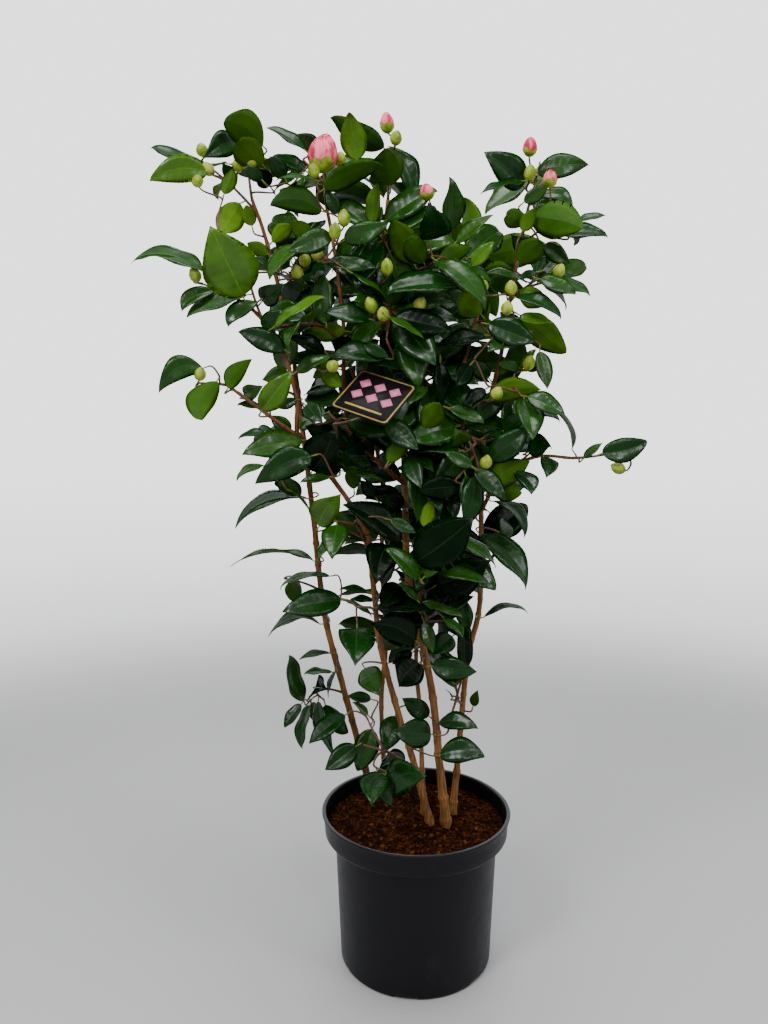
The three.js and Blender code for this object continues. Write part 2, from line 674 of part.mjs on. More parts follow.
// The twigs and buds of a mass: a leader from its limb past its centre, and shoots from that.
function growTwigs(mass, number) {
  const random = seededRandom(SEED + number * 101);
  const growth = { mass, twigs: [], solids: [] };
  const root = rootOn(limbs.get(mass.limb), mass.at);
  const toCentre = vector(mass.centre).sub(root.point);
  const axis = toCentre.clone().normalize().addScaledVector(UP, 0.5).normalize();
  const bend = root.point
    .clone()
    .addScaledVector(root.heading, toCentre.length() * 0.25)
    .addScaledVector(toCentre, 0.4);
  const leader = twigPath(root.point, bend, shootEnd(mass, axis, 0, 0));
  addTwig(growth, leader, random);
  const firstTurn = random() * 2 * Math.PI;
  for (let i = 1; i < mass.shoots; i++) {
    const share = 0.3 + (0.55 * i) / mass.shoots;
    const fork = leader.getPoint(share);
    const end = shootEnd(mass, axis, i, firstTurn + i * 2.4);
    const middle = fork.clone().lerp(end, 0.5).addScaledVector(leader.getTangent(share), 8);
    const shoot = twigPath(fork, middle, end);
    if (!lineIsBlocked(linePoints(shoot).slice(2), growth.twigs)) addTwig(growth, shoot, random);
  }
  const inBloom = mass.name === BLOOM_MASS;
  const budSize = inBloom ? [BLOOM_BUD_LENGTH, BLOOM_BUD_RADIUS] : [BUD_LENGTH, BUD_RADIUS];
  for (const { path } of growth.twigs.slice(0, mass.buds ?? 0)) {
    growth.solids.push(budSolid(path.getPoint(1), path.getTangent(1), ...budSize));
  }
  foliage.push(growth);
}

function massMesh({ mass, solids }) {
  const whole = wasm.Manifold.union(solids).asOriginal().simplify(FACET_TOLERANCE);
  const clear = largestBody(cutClear(whole, swollenLimbs())).asOriginal().simplify(FACET_TOLERANCE / 4);
  return toMesh(mass.name, clear, materials.foliage);
}

const shrub = new THREE.Group();
shrub.add(toMesh("pot", potSolid(), materials.pot));
shrub.add(toMesh("soil", soilSolid(), materials.soil));
for (const limb of limbs.values()) shrub.add(toMesh(limb.name, limb.solid, materials.bark));
MASSES.forEach(growTwigs);
foliage.forEach(growLeaves);
foliage.forEach((growth) => shrub.add(massMesh(growth)));

export default shrub;
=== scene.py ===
"""Camellia shrub in a round nursery pot: its looks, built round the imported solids.

The plant is written in millimetres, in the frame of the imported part, and turned into metres when
a mesh is made. Limbs are tubes with bark relief. Leaves and buds that can be told apart from the
front are placed one by one, and the other leaves grow on twigs by the seeded rule of the part's
source.
"""

import math
import random

import bpy
import numpy as np
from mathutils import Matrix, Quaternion, Vector, noise
from mathutils.bvhtree import BVHTree


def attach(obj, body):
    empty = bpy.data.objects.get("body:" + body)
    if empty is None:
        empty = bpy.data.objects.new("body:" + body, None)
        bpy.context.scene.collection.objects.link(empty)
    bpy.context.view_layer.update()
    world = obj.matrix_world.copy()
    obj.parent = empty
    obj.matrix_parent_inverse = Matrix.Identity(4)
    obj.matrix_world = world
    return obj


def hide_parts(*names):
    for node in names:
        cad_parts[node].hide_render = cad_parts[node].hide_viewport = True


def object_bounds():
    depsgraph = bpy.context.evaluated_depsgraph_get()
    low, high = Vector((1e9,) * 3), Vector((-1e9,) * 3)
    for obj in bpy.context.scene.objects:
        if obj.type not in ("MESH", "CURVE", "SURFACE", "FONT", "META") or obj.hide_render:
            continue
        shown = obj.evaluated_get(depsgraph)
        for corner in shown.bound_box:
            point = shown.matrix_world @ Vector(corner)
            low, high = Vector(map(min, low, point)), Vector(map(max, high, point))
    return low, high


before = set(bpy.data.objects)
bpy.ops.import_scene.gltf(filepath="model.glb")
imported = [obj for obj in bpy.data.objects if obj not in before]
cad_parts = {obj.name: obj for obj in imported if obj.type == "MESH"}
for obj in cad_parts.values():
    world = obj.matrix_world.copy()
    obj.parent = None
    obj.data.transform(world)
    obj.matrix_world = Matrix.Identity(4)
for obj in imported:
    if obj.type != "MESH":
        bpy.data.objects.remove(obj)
cad_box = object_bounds()

MM = 0.001
UP = np.array([0.0, 0.0, 1.0])

# The camera stands before the plant at eye height and looks a little down.
CAMERA_PLACE = (-0.044, -1.055, 0.739)
CAMERA_PITCH = math.radians(6.41)
CAMERA_LENS = 28.125
CAMERA_SENSOR = 36.0
CAMERA_DISTANCE = 1055
PHOTO_FOCUS = 800
PHOTO_MIDDLE = (384, 512)

# Pot, in millimetres
POT_HEIGHT = 210
POT_RIM_RADIUS = 129.5
POT_BASE_RADIUS = 104
POT_SHOULDER_RADIUS = 111.5
BAND_HEIGHT = 32
BAND_RADIUS = 126
WALL = 2.2
LIP = 2.6
BASE_THICKNESS = 3
FOOT_NOTCHES = 6
FOOT_NOTCH = {"width": 30, "depth": 9, "height": 4}
POT_SIDES = 240
WALL_STEP = 12

# Soil
SOIL_TOP = 194
SOIL_EDGE = 187
SOIL_RADIUS = 121.5
SOIL_SKIRT = 5
SOIL_GRID = (90, 220)
SOIL_FIBRES = 2600
FIBRE_HALF = (2, 9)
FIBRE_RADII = (0.25, 0.6)
SOIL_CRUMBS = 1500
CRUMB_SIZES = (0.8, 2.6)
CRUMB = np.array([(x, y, z) for x in (-1, 1) for y in (-1, 1) for z in (-1, 1)], float)
CRUMB_FACES = np.array([
    (0, 1, 3, 2), (4, 6, 7, 5), (0, 4, 5, 1), (2, 3, 7, 6), (0, 2, 6, 4), (1, 5, 7, 3)])
LITTER_COLOURS = {
    "dark": ((0.004, 0.0012, 0.0005), (0.022, 0.006, 0.002)),
    "rusty": ((0.026, 0.006, 0.0012), (0.125, 0.030, 0.006)),
    "pale": ((0.08, 0.026, 0.006), (0.20, 0.075, 0.018)),
}

# Limbs
FLARE_HEIGHT = 26
STEM_FLARE = 0.55
BOUGH_FLARE = 0.15
STEM_SINK = 6
STEM_RISE = 8
LIMB_SIDES = 16
LIMB_STEP = 2.5
FIRST_KNOT = (10, 30)
KNOT_STEPS = (22, 48)
KNOT_SWELL = (0.1, 0.3)
KNOT_LENGTH = 2.8
RELIEF_DEPTH = 0.16
RELIEF_ROUND = 2.3
RELIEF_LENGTH = 34
BOUGH_SEED = 40

# Twigs and leaves
SEED = 20
TWIG_SIDES = 7
TWIG_STEP = 4
TWIG_ROOT_RADIUS = 2.0
TWIG_TIP_RADIUS = 1.15
FINE_TWIG_RADII = (1.4, 1.0)
FINE_TWIG_CLEAR = 1.2
SIDE_TWIG_SHARES = (0.35, 0.6, 0.85)
SIDE_TWIG_LENGTHS = (30, 50)
LEAST_FORKED = 55
SIDE_TWIG_REACH = 0.9
LEAST_TWIG = 5
CLIMB_COST = 0.9
FORKS_FROM = 0.3
FORKS_OVER = 0.55
SHOOTS_BACK = 1.75
SHOOT_TURN = 2.4
MASS_SEED_STEP = 101
MOST_IN_PIECE = 190
SHOOT_LEAST = 0.42
LEAF_SPREAD = 0.62
LEAF_LENGTH = 80
LEAF_WIDTH = 0.53
LEAST_SLENDER = 1.6
MOST_TOWARD = 45
LEAF_THICKNESS = 0.5
LEAFLESS_SHARE = 0.1
LEAF_SPACING = (1, 11, 22, 34, 47, 61, 76, 92, 109)
LEAF_TURN = math.radians(137.5)
LEAF_SIZES = (1, 0.86, 0.72)
LEAF_SWINGS = (0, 0.5, -0.5, 1, -1, 1.6, -1.6, 2.3, -2.3)
LEAF_SAG = 0.22
FACE_UP = 0.62
FACE_OUT = 0.74
STALK = 8
STALK_RADII = (1.15, 0.75)
STALK_SIDES = 6
SEEN_PUSHES = (0, 8, -8, 16, -16, 24)
SHOWN_SHARE = 0.86
BLADE_ROWS = 33
BLADE_COLUMNS = (-1, -0.62, -0.3, -0.03, 0.03, 0.3, 0.62, 1)
WIDEST = 0.44
VEINS = 6.6
TOOTH_DEPTH = 0.0042
MASS_DEPTH = 79
SMALL_MASS = 105
OWN_SPACE = 1.8
CROWN_SPACE = 1.12
PLANT_AXIS = (-20, 20)
FAN = 3

# Buds: length and radius, and how many scales and petals overlap.
BUD_SIZES = {"green": (19, 7.0), "pink": (23, 8.2), "bloom": (45, 16.5)}
SCALE_TURN = 2.4
GREEN_SCALES = 9
PINK_SCALES = 6
BLOOM_PETALS = 11
BLOOM_SEPALS = 7

# Stems from foot to tip, as in the part's source.
STEMS = {
    "stem_left": ((4.9, 3.4), (-62, 60), [
        (-99, 45, 354), (-126, 30, 474), (-139, 18, 608), (-148, 10, 696), (-156, 5, 768)]),
    "stem_leaning": ((4.6, 3.4), (17, -19), [
        (-8, -32, 301), (-22, -36, 347), (-48, -42, 447), (-57, -46, 525), (-64, -50, 597)]),
    "stem_back": ((3.6, 2.9), (-42, 80), [
        (-48, 84, 330), (-41, 88, 422), (-47, 92, 540), (-44, 90, 657)]),
    "stem_centre": ((5.6, 3.7), (40, -22), [
        (32, -20, 272), (22, -14, 368), (6, -8, 451), (-11, -2, 529), (-16, 4, 636), (-20, 6, 807)]),
    "stem_thin": ((3.4, 2.6), (11, 6), [
        (6, 22, 337), (1, 40, 407), (8, 60, 502), (24, 78, 600), (36, 88, 692)]),
    "stem_right": ((4.3, 3.2), (53, 14), [
        (57, 18, 242), (65, 22, 342), (72, 22, 416), (86, 18, 484), (87, 14, 554), (85, 4, 716)]),
}

# Boughs: the limb that carries them, the share of its length, radii, and the path from there.
BOUGHS = {
    "bough_left": ("stem_leaning", 1, (3.2, 2.8), [
        (-84, -54, 634), (-118, -58, 682), (-152, -60, 727)]),
    "bough_left_upper": ("bough_left", 1, (2.7, 2.2), [
        (-153, -56, 772), (-170, -50, 828), (-195, -44, 865), (-215, -40, 885)]),
    "bough_left_arm": ("bough_left", 0.93, (2.4, 1.9), [
        (-184, -64, 746), (-213, -68, 768), (-236, -70, 784)]),
    "bough_top_left": ("stem_left", 1, (3.2, 2.2), [
        (-164, 2, 839), (-180, -2, 914), (-197, -4, 979), (-211, -4, 1019)]),
    "bough_pink": ("stem_centre", 0.76, (2.9, 2.2), [
        (-52, -20, 688), (-85, -34, 721), (-94, -38, 782), (-95, -36, 864), (-106, -28, 952),
        (-116, -22, 1008)]),
    "bough_top_centre": ("stem_centre", 1, (3.4, 2.2), [
        (-31, 4, 864), (-41, 0, 921), (-43, -4, 976), (-39, -6, 1018)]),
    "bough_right_centre": ("stem_centre", 0.74, (2.8, 2.1), [
        (13, -18, 693), (27, -30, 735), (49, -36, 792), (63, -38, 835), (73, -38, 872)]),
    "bough_right_top": ("stem_right", 1, (3, 2.1), [
        (94, 0, 768), (107, -6, 825), (117, -10, 896), (127, -10, 950), (136, -8, 999)]),
    "bough_right_arm": ("stem_right", 0.82, (2.5, 1.8), [
        (106, -12, 667), (121, -24, 683), (154, -38, 696), (193, -46, 694)]),
    "bough_back_left": ("stem_back", 0.97, (2.7, 2), [
        (-61, 96, 728), (-90, 98, 813), (-117, 92, 895), (-135, 80, 954)]),
    "bough_back_right": ("stem_thin", 1, (2.5, 2), [
        (50, 96, 770), (66, 98, 855), (82, 90, 929), (91, 78, 987)]),
    "bough_back_top": ("stem_back", 1, (2.7, 2), [
        (-24, 98, 742), (-10, 100, 841), (-2, 92, 930), (-6, 78, 994)]),
}

# Masses of foliage by limb: name, share of the limb, centre, and half width and half height.
FOLIAGE = {
    "bough_top_left": [
        ("far_left_top", 0.93, (-275, -30, 1055), (55, 45)),
        ("left_top", 1, (-215, 0, 1060), (55, 75)),
    ],
    "bough_left_upper": [
        ("left_reach", 1, (-310, -45, 915), (55, 40)),
        ("left_upper", 0.82, (-210, -60, 925), (65, 70)),
        ("left_inner", 0.25, (-175, -80, 770), (45, 55)),
    ],
    "bough_left_arm": [
        ("left_arm", 1, (-265, -70, 780), (55, 45)),
    ],
    "bough_left": [
        ("left_middle", 0.72, (-165, -85, 680), (60, 55)),
    ],
    "stem_left": [
        ("left_low", 0.56, (-175, 0, 520), (70, 65)),
        ("low_left", 0.3, (-140, 30, 360), (50, 65)),
    ],
    "bough_pink": [
        ("pink_top", 1, (-120, -20, 1055), (65, 60)),
        ("upper_left", 0.78, (-135, -30, 950), (50, 55)),
        ("mid_upper_left", 0.55, (-135, -65, 855), (60, 45)),
        ("centre_left", 0.32, (-100, -70, 730), (50, 65)),
    ],
    "bough_top_centre": [
        ("top_centre", 1, (-40, -5, 1065), (35, 55)),
        ("upper_centre", 0.72, (-50, -30, 965), (55, 55)),
        ("mid_upper", 0.35, (-35, -50, 865), (60, 55)),
    ],
    "bough_right_centre": [
        ("top_right_centre", 1, (40, -30, 945), (60, 85)),
        ("centre_right", 0.45, (65, -80, 700), (55, 55)),
    ],
    "bough_right_top": [
        ("right_tip", 1, (150, -10, 1050), (65, 40)),
        ("right_top", 0.86, (170, -30, 980), (60, 45)),
        ("right_mid_top", 0.62, (150, -40, 910), (60, 40)),
        ("right_upper", 0.42, (130, -45, 840), (55, 40)),
        ("right_lower", 0.18, (110, -55, 775), (50, 40)),
    ],
    "bough_right_arm": [
        ("right_arm_tip", 1, (255, -45, 700), (60, 40)),
        ("right_arm", 0.55, (150, -55, 710), (50, 60)),
    ],
    "stem_centre": [
        ("centre_dark", 0.93, (15, -50, 790), (60, 55)),
        ("centre", 0.78, (-15, -50, 695), (55, 55)),
        ("centre_low", 0.6, (30, -60, 585), (60, 60)),
        ("low_middle", 0.44, (20, -50, 485), (60, 50)),
    ],
    "stem_leaning": [
        ("centre_left_low", 0.93, (-85, -95, 620), (55, 50)),
        ("low_left_middle", 0.74, (-60, -90, 505), (50, 50)),
        ("foot", 0.22, (-55, -40, 305), (75, 65)),
    ],
    "stem_right": [
        ("right_low", 0.66, (110, -20, 560), (40, 75)),
        ("low_right", 0.3, (50, -10, 355), (40, 80)),
    ],
    "bough_back_left": [
        ("back_left", 1, (-165, 90, 930), (65, 85)),
        ("back_middle_left", 0.35, (-100, 110, 740), (60, 85)),
    ],
    "bough_back_right": [
        ("back_right", 1, (85, 90, 955), (60, 90)),
        ("back_middle_right", 0.3, (80, 110, 720), (60, 80)),
    ],
    "bough_back_top": [
        ("back_top", 1, (-10, 100, 985), (55, 75)),
    ],
    "stem_thin": [
        ("back_low", 0.62, (15, 85, 495), (60, 70)),
    ],
}

# Leaf tints: the colours of the upper side and of the underside. The darkest one is painted shade.
TINTS = {
    # Painted shade: near-black leaves deep in the crown and low down, which also get little sheen.
    "painted_shade": ((0.0006, 0.0070, 0.0006), (0.0080, 0.0300, 0.0020)),
    "dark": ((0.0030, 0.0280, 0.0016), (0.0150, 0.0480, 0.0030)),
    "middle": ((0.0085, 0.0480, 0.0010), (0.0290, 0.0860, 0.0020)),
    "fresh": ((0.0150, 0.0600, 0.0010), (0.0420, 0.1020, 0.0020)),
    # Partly the pale green of young leaves, partly painted light where light falls on a blade or shines
    # through it.
    "light": ((0.0560, 0.1480, 0.0040), (0.0900, 0.1850, 0.0060)),
}
SHEEN = {"painted_shade": 0.14, "dark": 0.4, "middle": 0.5, "fresh": 0.5, "light": 0.45}
SHEEN_SPAN = (0.2, 0.72)
TINT_LIMITS = (("painted_shade", 0.05), ("dark", 0.42), ("middle", 0.9), ("fresh", 1.32))

# Leaves that are told apart from the front. Each row gives the pixels of the photograph where the
# blade's base and tip lie, how many pixels wide it looks, the millimetres that base and tip stand
# behind the pot's centre, its tint, and whether its upper side (1) or its underside (-1) shows.
# In the tint column the darkest tint paints shade, and the light tint partly paints light on and through
# a blade.
SEEN_LEAVES = {
    "dome": (263, 146, 224, 122, 33, -20, -40, "middle", -1),
    "left_dome": (235, 141, 204, 158, 24, -20, -50, "dark", 1),
    "under_dome": (263, 165, 240, 141, 28, -12, -20, "fresh", -1),
    "far_left_top": (203, 165, 150, 149, 7, -40, -30, "dark", 1),
    "far_left_low": (207, 172, 150, 181, 26, -50, -60, "light", 1),
    "small_light_top": (224, 194, 232, 169, 15, -45, -40, "fresh", -1),
    "lit_through_left": (240, 203, 222, 232, 27, -15, -10, "light", -1),
    "lit_through_right": (252, 226, 246, 205, 14, -25, -30, "light", -1),
    "grey_spike": (306, 171, 272, 157, 13, -20, -30, "dark", 1),
    "top_arch": (305, 150, 266, 128, 9, -20, -25, "dark", 1),
    "thin_left": (315, 180, 276, 181, 6, -45, -60, "middle", 1),
    "round_left": (268, 254, 247, 243, 14, -20, -30, "fresh", -1),
    "olive_small": (272, 242, 291, 227, 16, -20, -30, "light", -1),
    "dark_beside_great": (276, 268, 252, 258, 9, -50, -60, "dark", 1),
    "great": (243, 296, 210, 226, 53, -60, -75, "light", 1),
    "far_left": (202, 271, 131, 264, 9, -60, -40, "middle", 1),
    "left_hook": (214, 290, 182, 312, 17, -60, -75, "middle", 1),
    "under_great": (262, 301, 283, 283, 22, -45, -60, "dark", 1),
    "bright_blade": (275, 326, 328, 300, 12, -85, -95, "light", 1),
    "low_of_great": (262, 327, 283, 310, 17, -55, -60, "dark", 1),
    "shade_high": (300, 272, 312, 250, 18, -20, -30, "dark", 1),
    "shade_mid": (285, 300, 303, 278, 24, -20, -30, "dark", 1),
    "gloss_mid": (327, 262, 376, 268, 14, -75, -85, "dark", 1),
    "blade_mid": (352, 273, 390, 306, 9, -90, -100, "middle", 1),
    "gloss_low": (370, 319, 324, 313, 17, -90, -100, "dark", 1),
    "olive": (357, 160, 349, 112, 26, -40, -50, "fresh", -1),
    "behind_bloom": (384, 148, 330, 118, 20, 20, 0, "dark", -1),
    "under_bloom_right": (324, 189, 383, 166, 24, -60, -80, "middle", -1),
    "under_bloom_left": (322, 211, 270, 206, 26, -50, -70, "dark", -1),
    "below_bloom_left": (331, 235, 287, 251, 23, -90, -110, "middle", 1),
    "below_bloom_right": (344, 240, 388, 224, 22, -90, -100, "middle", 1),
    "underside_centre": (372, 223, 378, 183, 17, -30, -35, "fresh", -1),
    "centre_top": (390, 186, 384, 149, 34, -30, -50, "middle", -1),
    "centre_top_back": (413, 196, 388, 146, 22, -15, -20, "dark", 1),
    "centre_under": (414, 263, 391, 219, 30, -45, -55, "fresh", -1),
    "centre_under_right": (424, 263, 408, 240, 24, -35, -45, "middle", -1),
    "centre_right_top": (430, 240, 428, 202, 31, -60, -70, "dark", 1),
    "centre_right_up": (456, 242, 494, 215, 16, -50, -60, "fresh", 1),
    "centre_right_oval": (440, 258, 472, 247, 17, -40, -50, "middle", -1),
    "centre_right_mid": (472, 266, 494, 242, 14, -70, -80, "light", 1),
    "centre_right_long": (437, 261, 484, 312, 24, -90, -110, "middle", 1),
    "centre_right_side": (455, 262, 493, 284, 12, -70, -75, "middle", 1),
    "centre_right_low": (481, 314, 460, 292, 24, -65, -70, "fresh", -1),
    "centre_long": (457, 285, 386, 297, 21, -90, -105, "dark", 1),
    "right_face": (523, 186, 484, 152, 29, -40, -60, "dark", 1),
    "right_face_low": (522, 181, 480, 194, 12, -60, -80, "dark", 1),
    "right_sprig": (524, 202, 549, 186, 14, -60, -65, "fresh", 1),
    "right_sprig_long": (540, 196, 573, 207, 13, -28, -34, "middle", 1),
    "right_top": (537, 172, 589, 165, 22, -20, -30, "middle", 1),
    "right_big": (531, 218, 581, 229, 36, -60, -75, "middle", -1),
    "right_left_leaf": (525, 223, 507, 216, 19, -55, -60, "middle", -1),
    "right_stem_leaf": (522, 231, 536, 207, 15, -70, -75, "fresh", -1),
    "right_shade": (530, 251, 511, 235, 18, -10, -20, "dark", 1),
    "right_oval": (518, 262, 541, 241, 25, -65, -70, "middle", -1),
    "right_oval_out": (545, 244, 570, 264, 18, -40, -50, "middle", 1),
    "right_hanging": (540, 256, 535, 275, 17, -25, -30, "dark", 1),
    "right_fall": (537, 203, 572, 208, 15, -12, -24, "middle", 1),
    "right_arch": (560, 236, 608, 238, 11, -40, -50, "dark", 1),
    "right_arch_top": (579, 220, 606, 216, 8, -20, -20, "dark", 1),
    "right_thin": (537, 272, 516, 281, 9, -60, -65, "dark", 1),
    "right_gloss_out": (537, 280, 576, 295, 10, -65, -70, "dark", 1),
    "right_hang": (550, 275, 590, 297, 12, -50, -60, "middle", 1),
    "right_lit": (520, 290, 543, 305, 21, -50, -55, "light", -1),
    "right_hang_low": (540, 279, 575, 295, 14, -60, -70, "middle", 1),
    "right_long": (515, 297, 561, 320, 11, -80, -90, "dark", 1),
    "right_bright": (520, 318, 553, 324, 13, -70, -75, "light", 1),
    "right_light": (520, 315, 566, 353, 30, -50, -75, "fresh", -1),
    "right_dark": (489, 324, 535, 342, 27, -80, -90, "dark", 1),
    "dark_gloss": (395, 318, 452, 333, 24, -95, -105, "painted_shade", 1),
    "fresh_over_gloss": (390, 317, 424, 339, 9, -108, -115, "fresh", 1),
    "dark_across": (485, 335, 437, 347, 16, -80, -90, "painted_shade", 1),
    "gloss_over_tag": (365, 346, 389, 357, 14, -90, -100, "dark", 1),
    "dark_hanging": (440, 362, 440, 407, 18, -85, -90, "painted_shade", 1),
    "gloss_centre": (470, 365, 455, 388, 19, -90, -95, "painted_shade", 1),
    "right_pale_pair": (521, 365, 537, 349, 9, -60, -65, "fresh", 1),
    "right_pale_left": (520, 368, 497, 363, 12, -60, -65, "middle", 1),
    "right_dark_pair": (525, 369, 544, 363, 11, -45, -50, "dark", 1),
    "right_mid": (489, 399, 541, 390, 23, -70, -85, "fresh", -1),
    "right_mid_left": (485, 389, 463, 407, 14, -85, -95, "painted_shade", 1),
    "olive_pair_left": (424, 428, 440, 403, 24, -95, -105, "fresh", -1),
    "fresh_bow": (450, 408, 484, 424, 15, -90, -95, "middle", 1),
    "fresh_small": (462, 444, 455, 428, 23, -85, -90, "fresh", 1),
    "dark_below_tag": (385, 421, 419, 450, 24, -105, -110, "dark", 1),
    "fresh_below_tag": (388, 462, 405, 436, 18, -95, -100, "middle", -1),
    "right_curled": (572, 449, 538, 406, 9, -50, -40, "dark", 1),
    "right_glossy_up": (503, 431, 525, 414, 20, -65, -70, "dark", 1),
    "right_glossy": (490, 460, 529, 428, 27, -80, -90, "dark", 1),
    "right_side_dark": (528, 452, 551, 446, 22, -55, -60, "dark", 1),
    "right_lit_low": (490, 481, 530, 461, 27, -60, -65, "fresh", -1),
    "right_lit_lower": (492, 490, 522, 493, 22, -50, -55, "fresh", -1),
    "fresh_left_of_arm": (472, 466, 444, 452, 15, -95, -100, "middle", 1),
    "wide_dark_gloss": (461, 486, 417, 490, 25, -95, -100, "painted_shade", 1),
    "right_small_low": (543, 457, 546, 478, 17, -60, -70, "dark", 1),
    "right_small_lower": (515, 472, 531, 495, 18, -60, -70, "dark", 1),
    "right_under_arm": (475, 469, 505, 501, 19, -90, -100, "dark", 1),
    "arm_round": (602, 453, 647, 441, 25, -60, -60, "dark", 1),
    "arm_small": (584, 458, 603, 443, 9, -50, -50, "fresh", 1),
    "dark_shaft": (450, 490, 455, 520, 17, -60, -65, "dark", 1),
    "bright_upright": (424, 527, 432, 500, 16, -85, -90, "light", -1),
    "low_right_out": (491, 501, 524, 538, 9, -40, -60, "dark", 1),
    "low_right_broad": (481, 535, 525, 590, 29, -30, -50, "dark", 1),
    "low_right_arch": (484, 617, 528, 614, 9, -10, -20, "dark", 1),
    "low_centre_great": (416, 562, 474, 517, 50, -110, -110, "painted_shade", 1),
    "left_arm_tip": (203, 368, 159, 393, 24, -80, -90, "middle", 1),
    "left_arm_low": (217, 381, 202, 420, 28, -80, -95, "middle", -1),
    "left_arm_up": (228, 388, 252, 359, 19, -75, -75, "middle", -1),
    "left_arm_light": (262, 410, 292, 371, 25, -80, -95, "light", 1),
    "left_arm_mid": (244, 395, 263, 386, 16, -55, -60, "middle", 1),
    "left_arm_shade": (262, 408, 237, 406, 8, -50, -60, "dark", 1),
    "left_mid_dark": (285, 350, 238, 332, 22, -50, -60, "dark", 1),
    "left_mid_hook": (257, 302, 229, 327, 17, -60, -70, "middle", 1),
    "left_lit": (345, 331, 304, 333, 20, -50, -55, "fresh", -1),
    "left_shade": (325, 352, 288, 338, 15, -60, -65, "painted_shade", 1),
    "left_bow": (296, 372, 332, 357, 15, -85, -90, "middle", 1),
    "gloss_left_of_tag": (385, 358, 332, 360, 19, -95, -100, "dark", 1),
    "lit_left_of_tag": (322, 371, 341, 387, 17, -75, -80, "fresh", -1),
    "bow_left_of_tag": (306, 405, 323, 423, 20, -100, -105, "dark", 1),
    "great_shade": (312, 471, 334, 430, 43, -60, -65, "painted_shade", 1),
    "narrow_left": (265, 432, 238, 440, 8, -75, -80, "dark", 1),
    "left_light": (302, 440, 242, 455, 25, -80, -100, "fresh", 1),
    "left_dark": (311, 456, 255, 484, 31, -100, -115, "dark", 1),
    "small_below_left": (330, 477, 300, 483, 9, -95, -100, "fresh", 1),
    "below_great_shade": (343, 471, 385, 485, 8, -75, -80, "middle", 1),
    "left_long": (309, 499, 235, 529, 8, -30, -40, "dark", 1),
    "left_long_low": (314, 561, 230, 567, 10, -20, -40, "middle", 1),
    "light_curl": (319, 526, 341, 494, 30, -70, -90, "light", 1),
    "broad_dark": (402, 541, 342, 505, 30, -95, -105, "painted_shade", 1),
    "small_dark": (391, 520, 416, 533, 15, -95, -100, "dark", 1),
    "fork_left": (420, 579, 384, 550, 18, -112, -120, "middle", 1),
    "fork_right": (424, 577, 446, 563, 11, -112, -120, "fresh", 1),
    "fork_side": (437, 572, 490, 585, 14, -100, -105, "middle", 1),
    "behind_fork": (436, 585, 490, 560, 42, -75, -80, "painted_shade", 1),
    "left_of_fork": (388, 545, 376, 584, 34, -70, -75, "painted_shade", 1),
    "hook_small": (367, 539, 344, 545, 10, -60, -70, "dark", 1),
    "below_left_fork": (400, 585, 380, 608, 25, -60, -70, "painted_shade", 1),
    "blade_low": (418, 601, 397, 585, 9, -90, -95, "middle", 1),
    "grey_left": (367, 592, 339, 590, 9, -25, -30, "dark", 1),
    "curl_left": (346, 601, 372, 618, 6, -30, -35, "fresh", 1),
    "broad_low": (416, 641, 371, 624, 33, -75, -85, "painted_shade", 1),
    "fresh_low": (420, 603, 463, 618, 7, -70, -75, "fresh", 1),
    "pair_low_left": (424, 622, 433, 653, 16, -70, -80, "middle", 1),
    "pair_low_right": (452, 636, 430, 656, 23, -50, -60, "dark", 1),
    "hanging_low_right": (462, 600, 468, 633, 18, -20, -25, "dark", 1),
    "left_low_a": (330, 576, 280, 591, 10, -20, -40, "middle", 1),
    "left_low_b": (341, 600, 282, 612, 28, -60, -85, "dark", 1),
    "left_low_c": (320, 624, 268, 637, 13, -20, -50, "dark", 1),
    "left_low_d": (330, 653, 299, 660, 7, 0, -20, "dark", 1),
    "left_low_e": (332, 672, 304, 675, 5, 0, -10, "middle", 1),
    "left_low_f": (335, 672, 329, 698, 7, 10, 0, "dark", 1),
    "heart": (357, 628, 355, 666, 38, -90, -110, "dark", 1),
    "under_heart": (365, 668, 380, 696, 26, -50, -60, "middle", 1),
    "dark_round_low": (419, 663, 399, 687, 34, -40, -50, "painted_shade", 1),
    "low_face": (432, 666, 477, 672, 26, -60, -75, "dark", 1),
    "low_far_left": (304, 700, 289, 655, 15, 0, -20, "middle", 1),
    "low_fall_a": (345, 715, 309, 744, 18, -20, -40, "dark", 1),
    "low_fall_b": (310, 705, 303, 749, 9, 10, 0, "dark", 1),
    "low_fall_c": (301, 704, 285, 728, 12, 10, 0, "dark", 1),
    "foot_left": (356, 746, 325, 770, 24, -30, -50, "dark", 1),
    "foot_centre": (431, 734, 391, 732, 30, -60, -85, "dark", 1),
    "foot_front": (385, 792, 427, 776, 36, -80, -90, "dark", 1),
    "foot_front_left": (385, 775, 372, 806, 31, -90, -110, "dark", 1),
    "foot_right": (440, 755, 485, 757, 27, -60, -70, "dark", 1),
    "foot_right_up": (439, 722, 478, 729, 18, -30, -50, "dark", 1),
    "foot_right_tip": (473, 706, 478, 690, 10, 10, 0, "fresh", 1),
    "grey_left_low": (373, 600, 349, 601, 9, -15, -20, "dark", 1),
    "foot_behind_left": (372, 729, 358, 771, 27, 10, 0, "middle", 1),
    "foot_hang": (395, 716, 385, 752, 26, -20, -30, "dark", 1),
    "foot_upper": (429, 716, 402, 698, 20, -15, -20, "dark", 1),
    "foot_small": (371, 699, 347, 696, 11, 0, -5, "dark", 1),
    "foot_fresh": (368, 715, 352, 702, 9, 0, -5, "fresh", 1),
    "bloom_side": (320, 150, 296, 134, 17, -10, -15, "dark", 1),
    "bud_shade": (262, 180, 245, 166, 13, -40, -45, "dark", 1),
    "dark_by_buds": (270, 186, 254, 168, 17, -5, -10, "painted_shade", 1),
    "far_bud_shade": (233, 176, 222, 163, 13, -30, -35, "dark", 1),
    "behind_arm_light": (288, 372, 262, 380, 18, -50, -55, "fresh", 1),
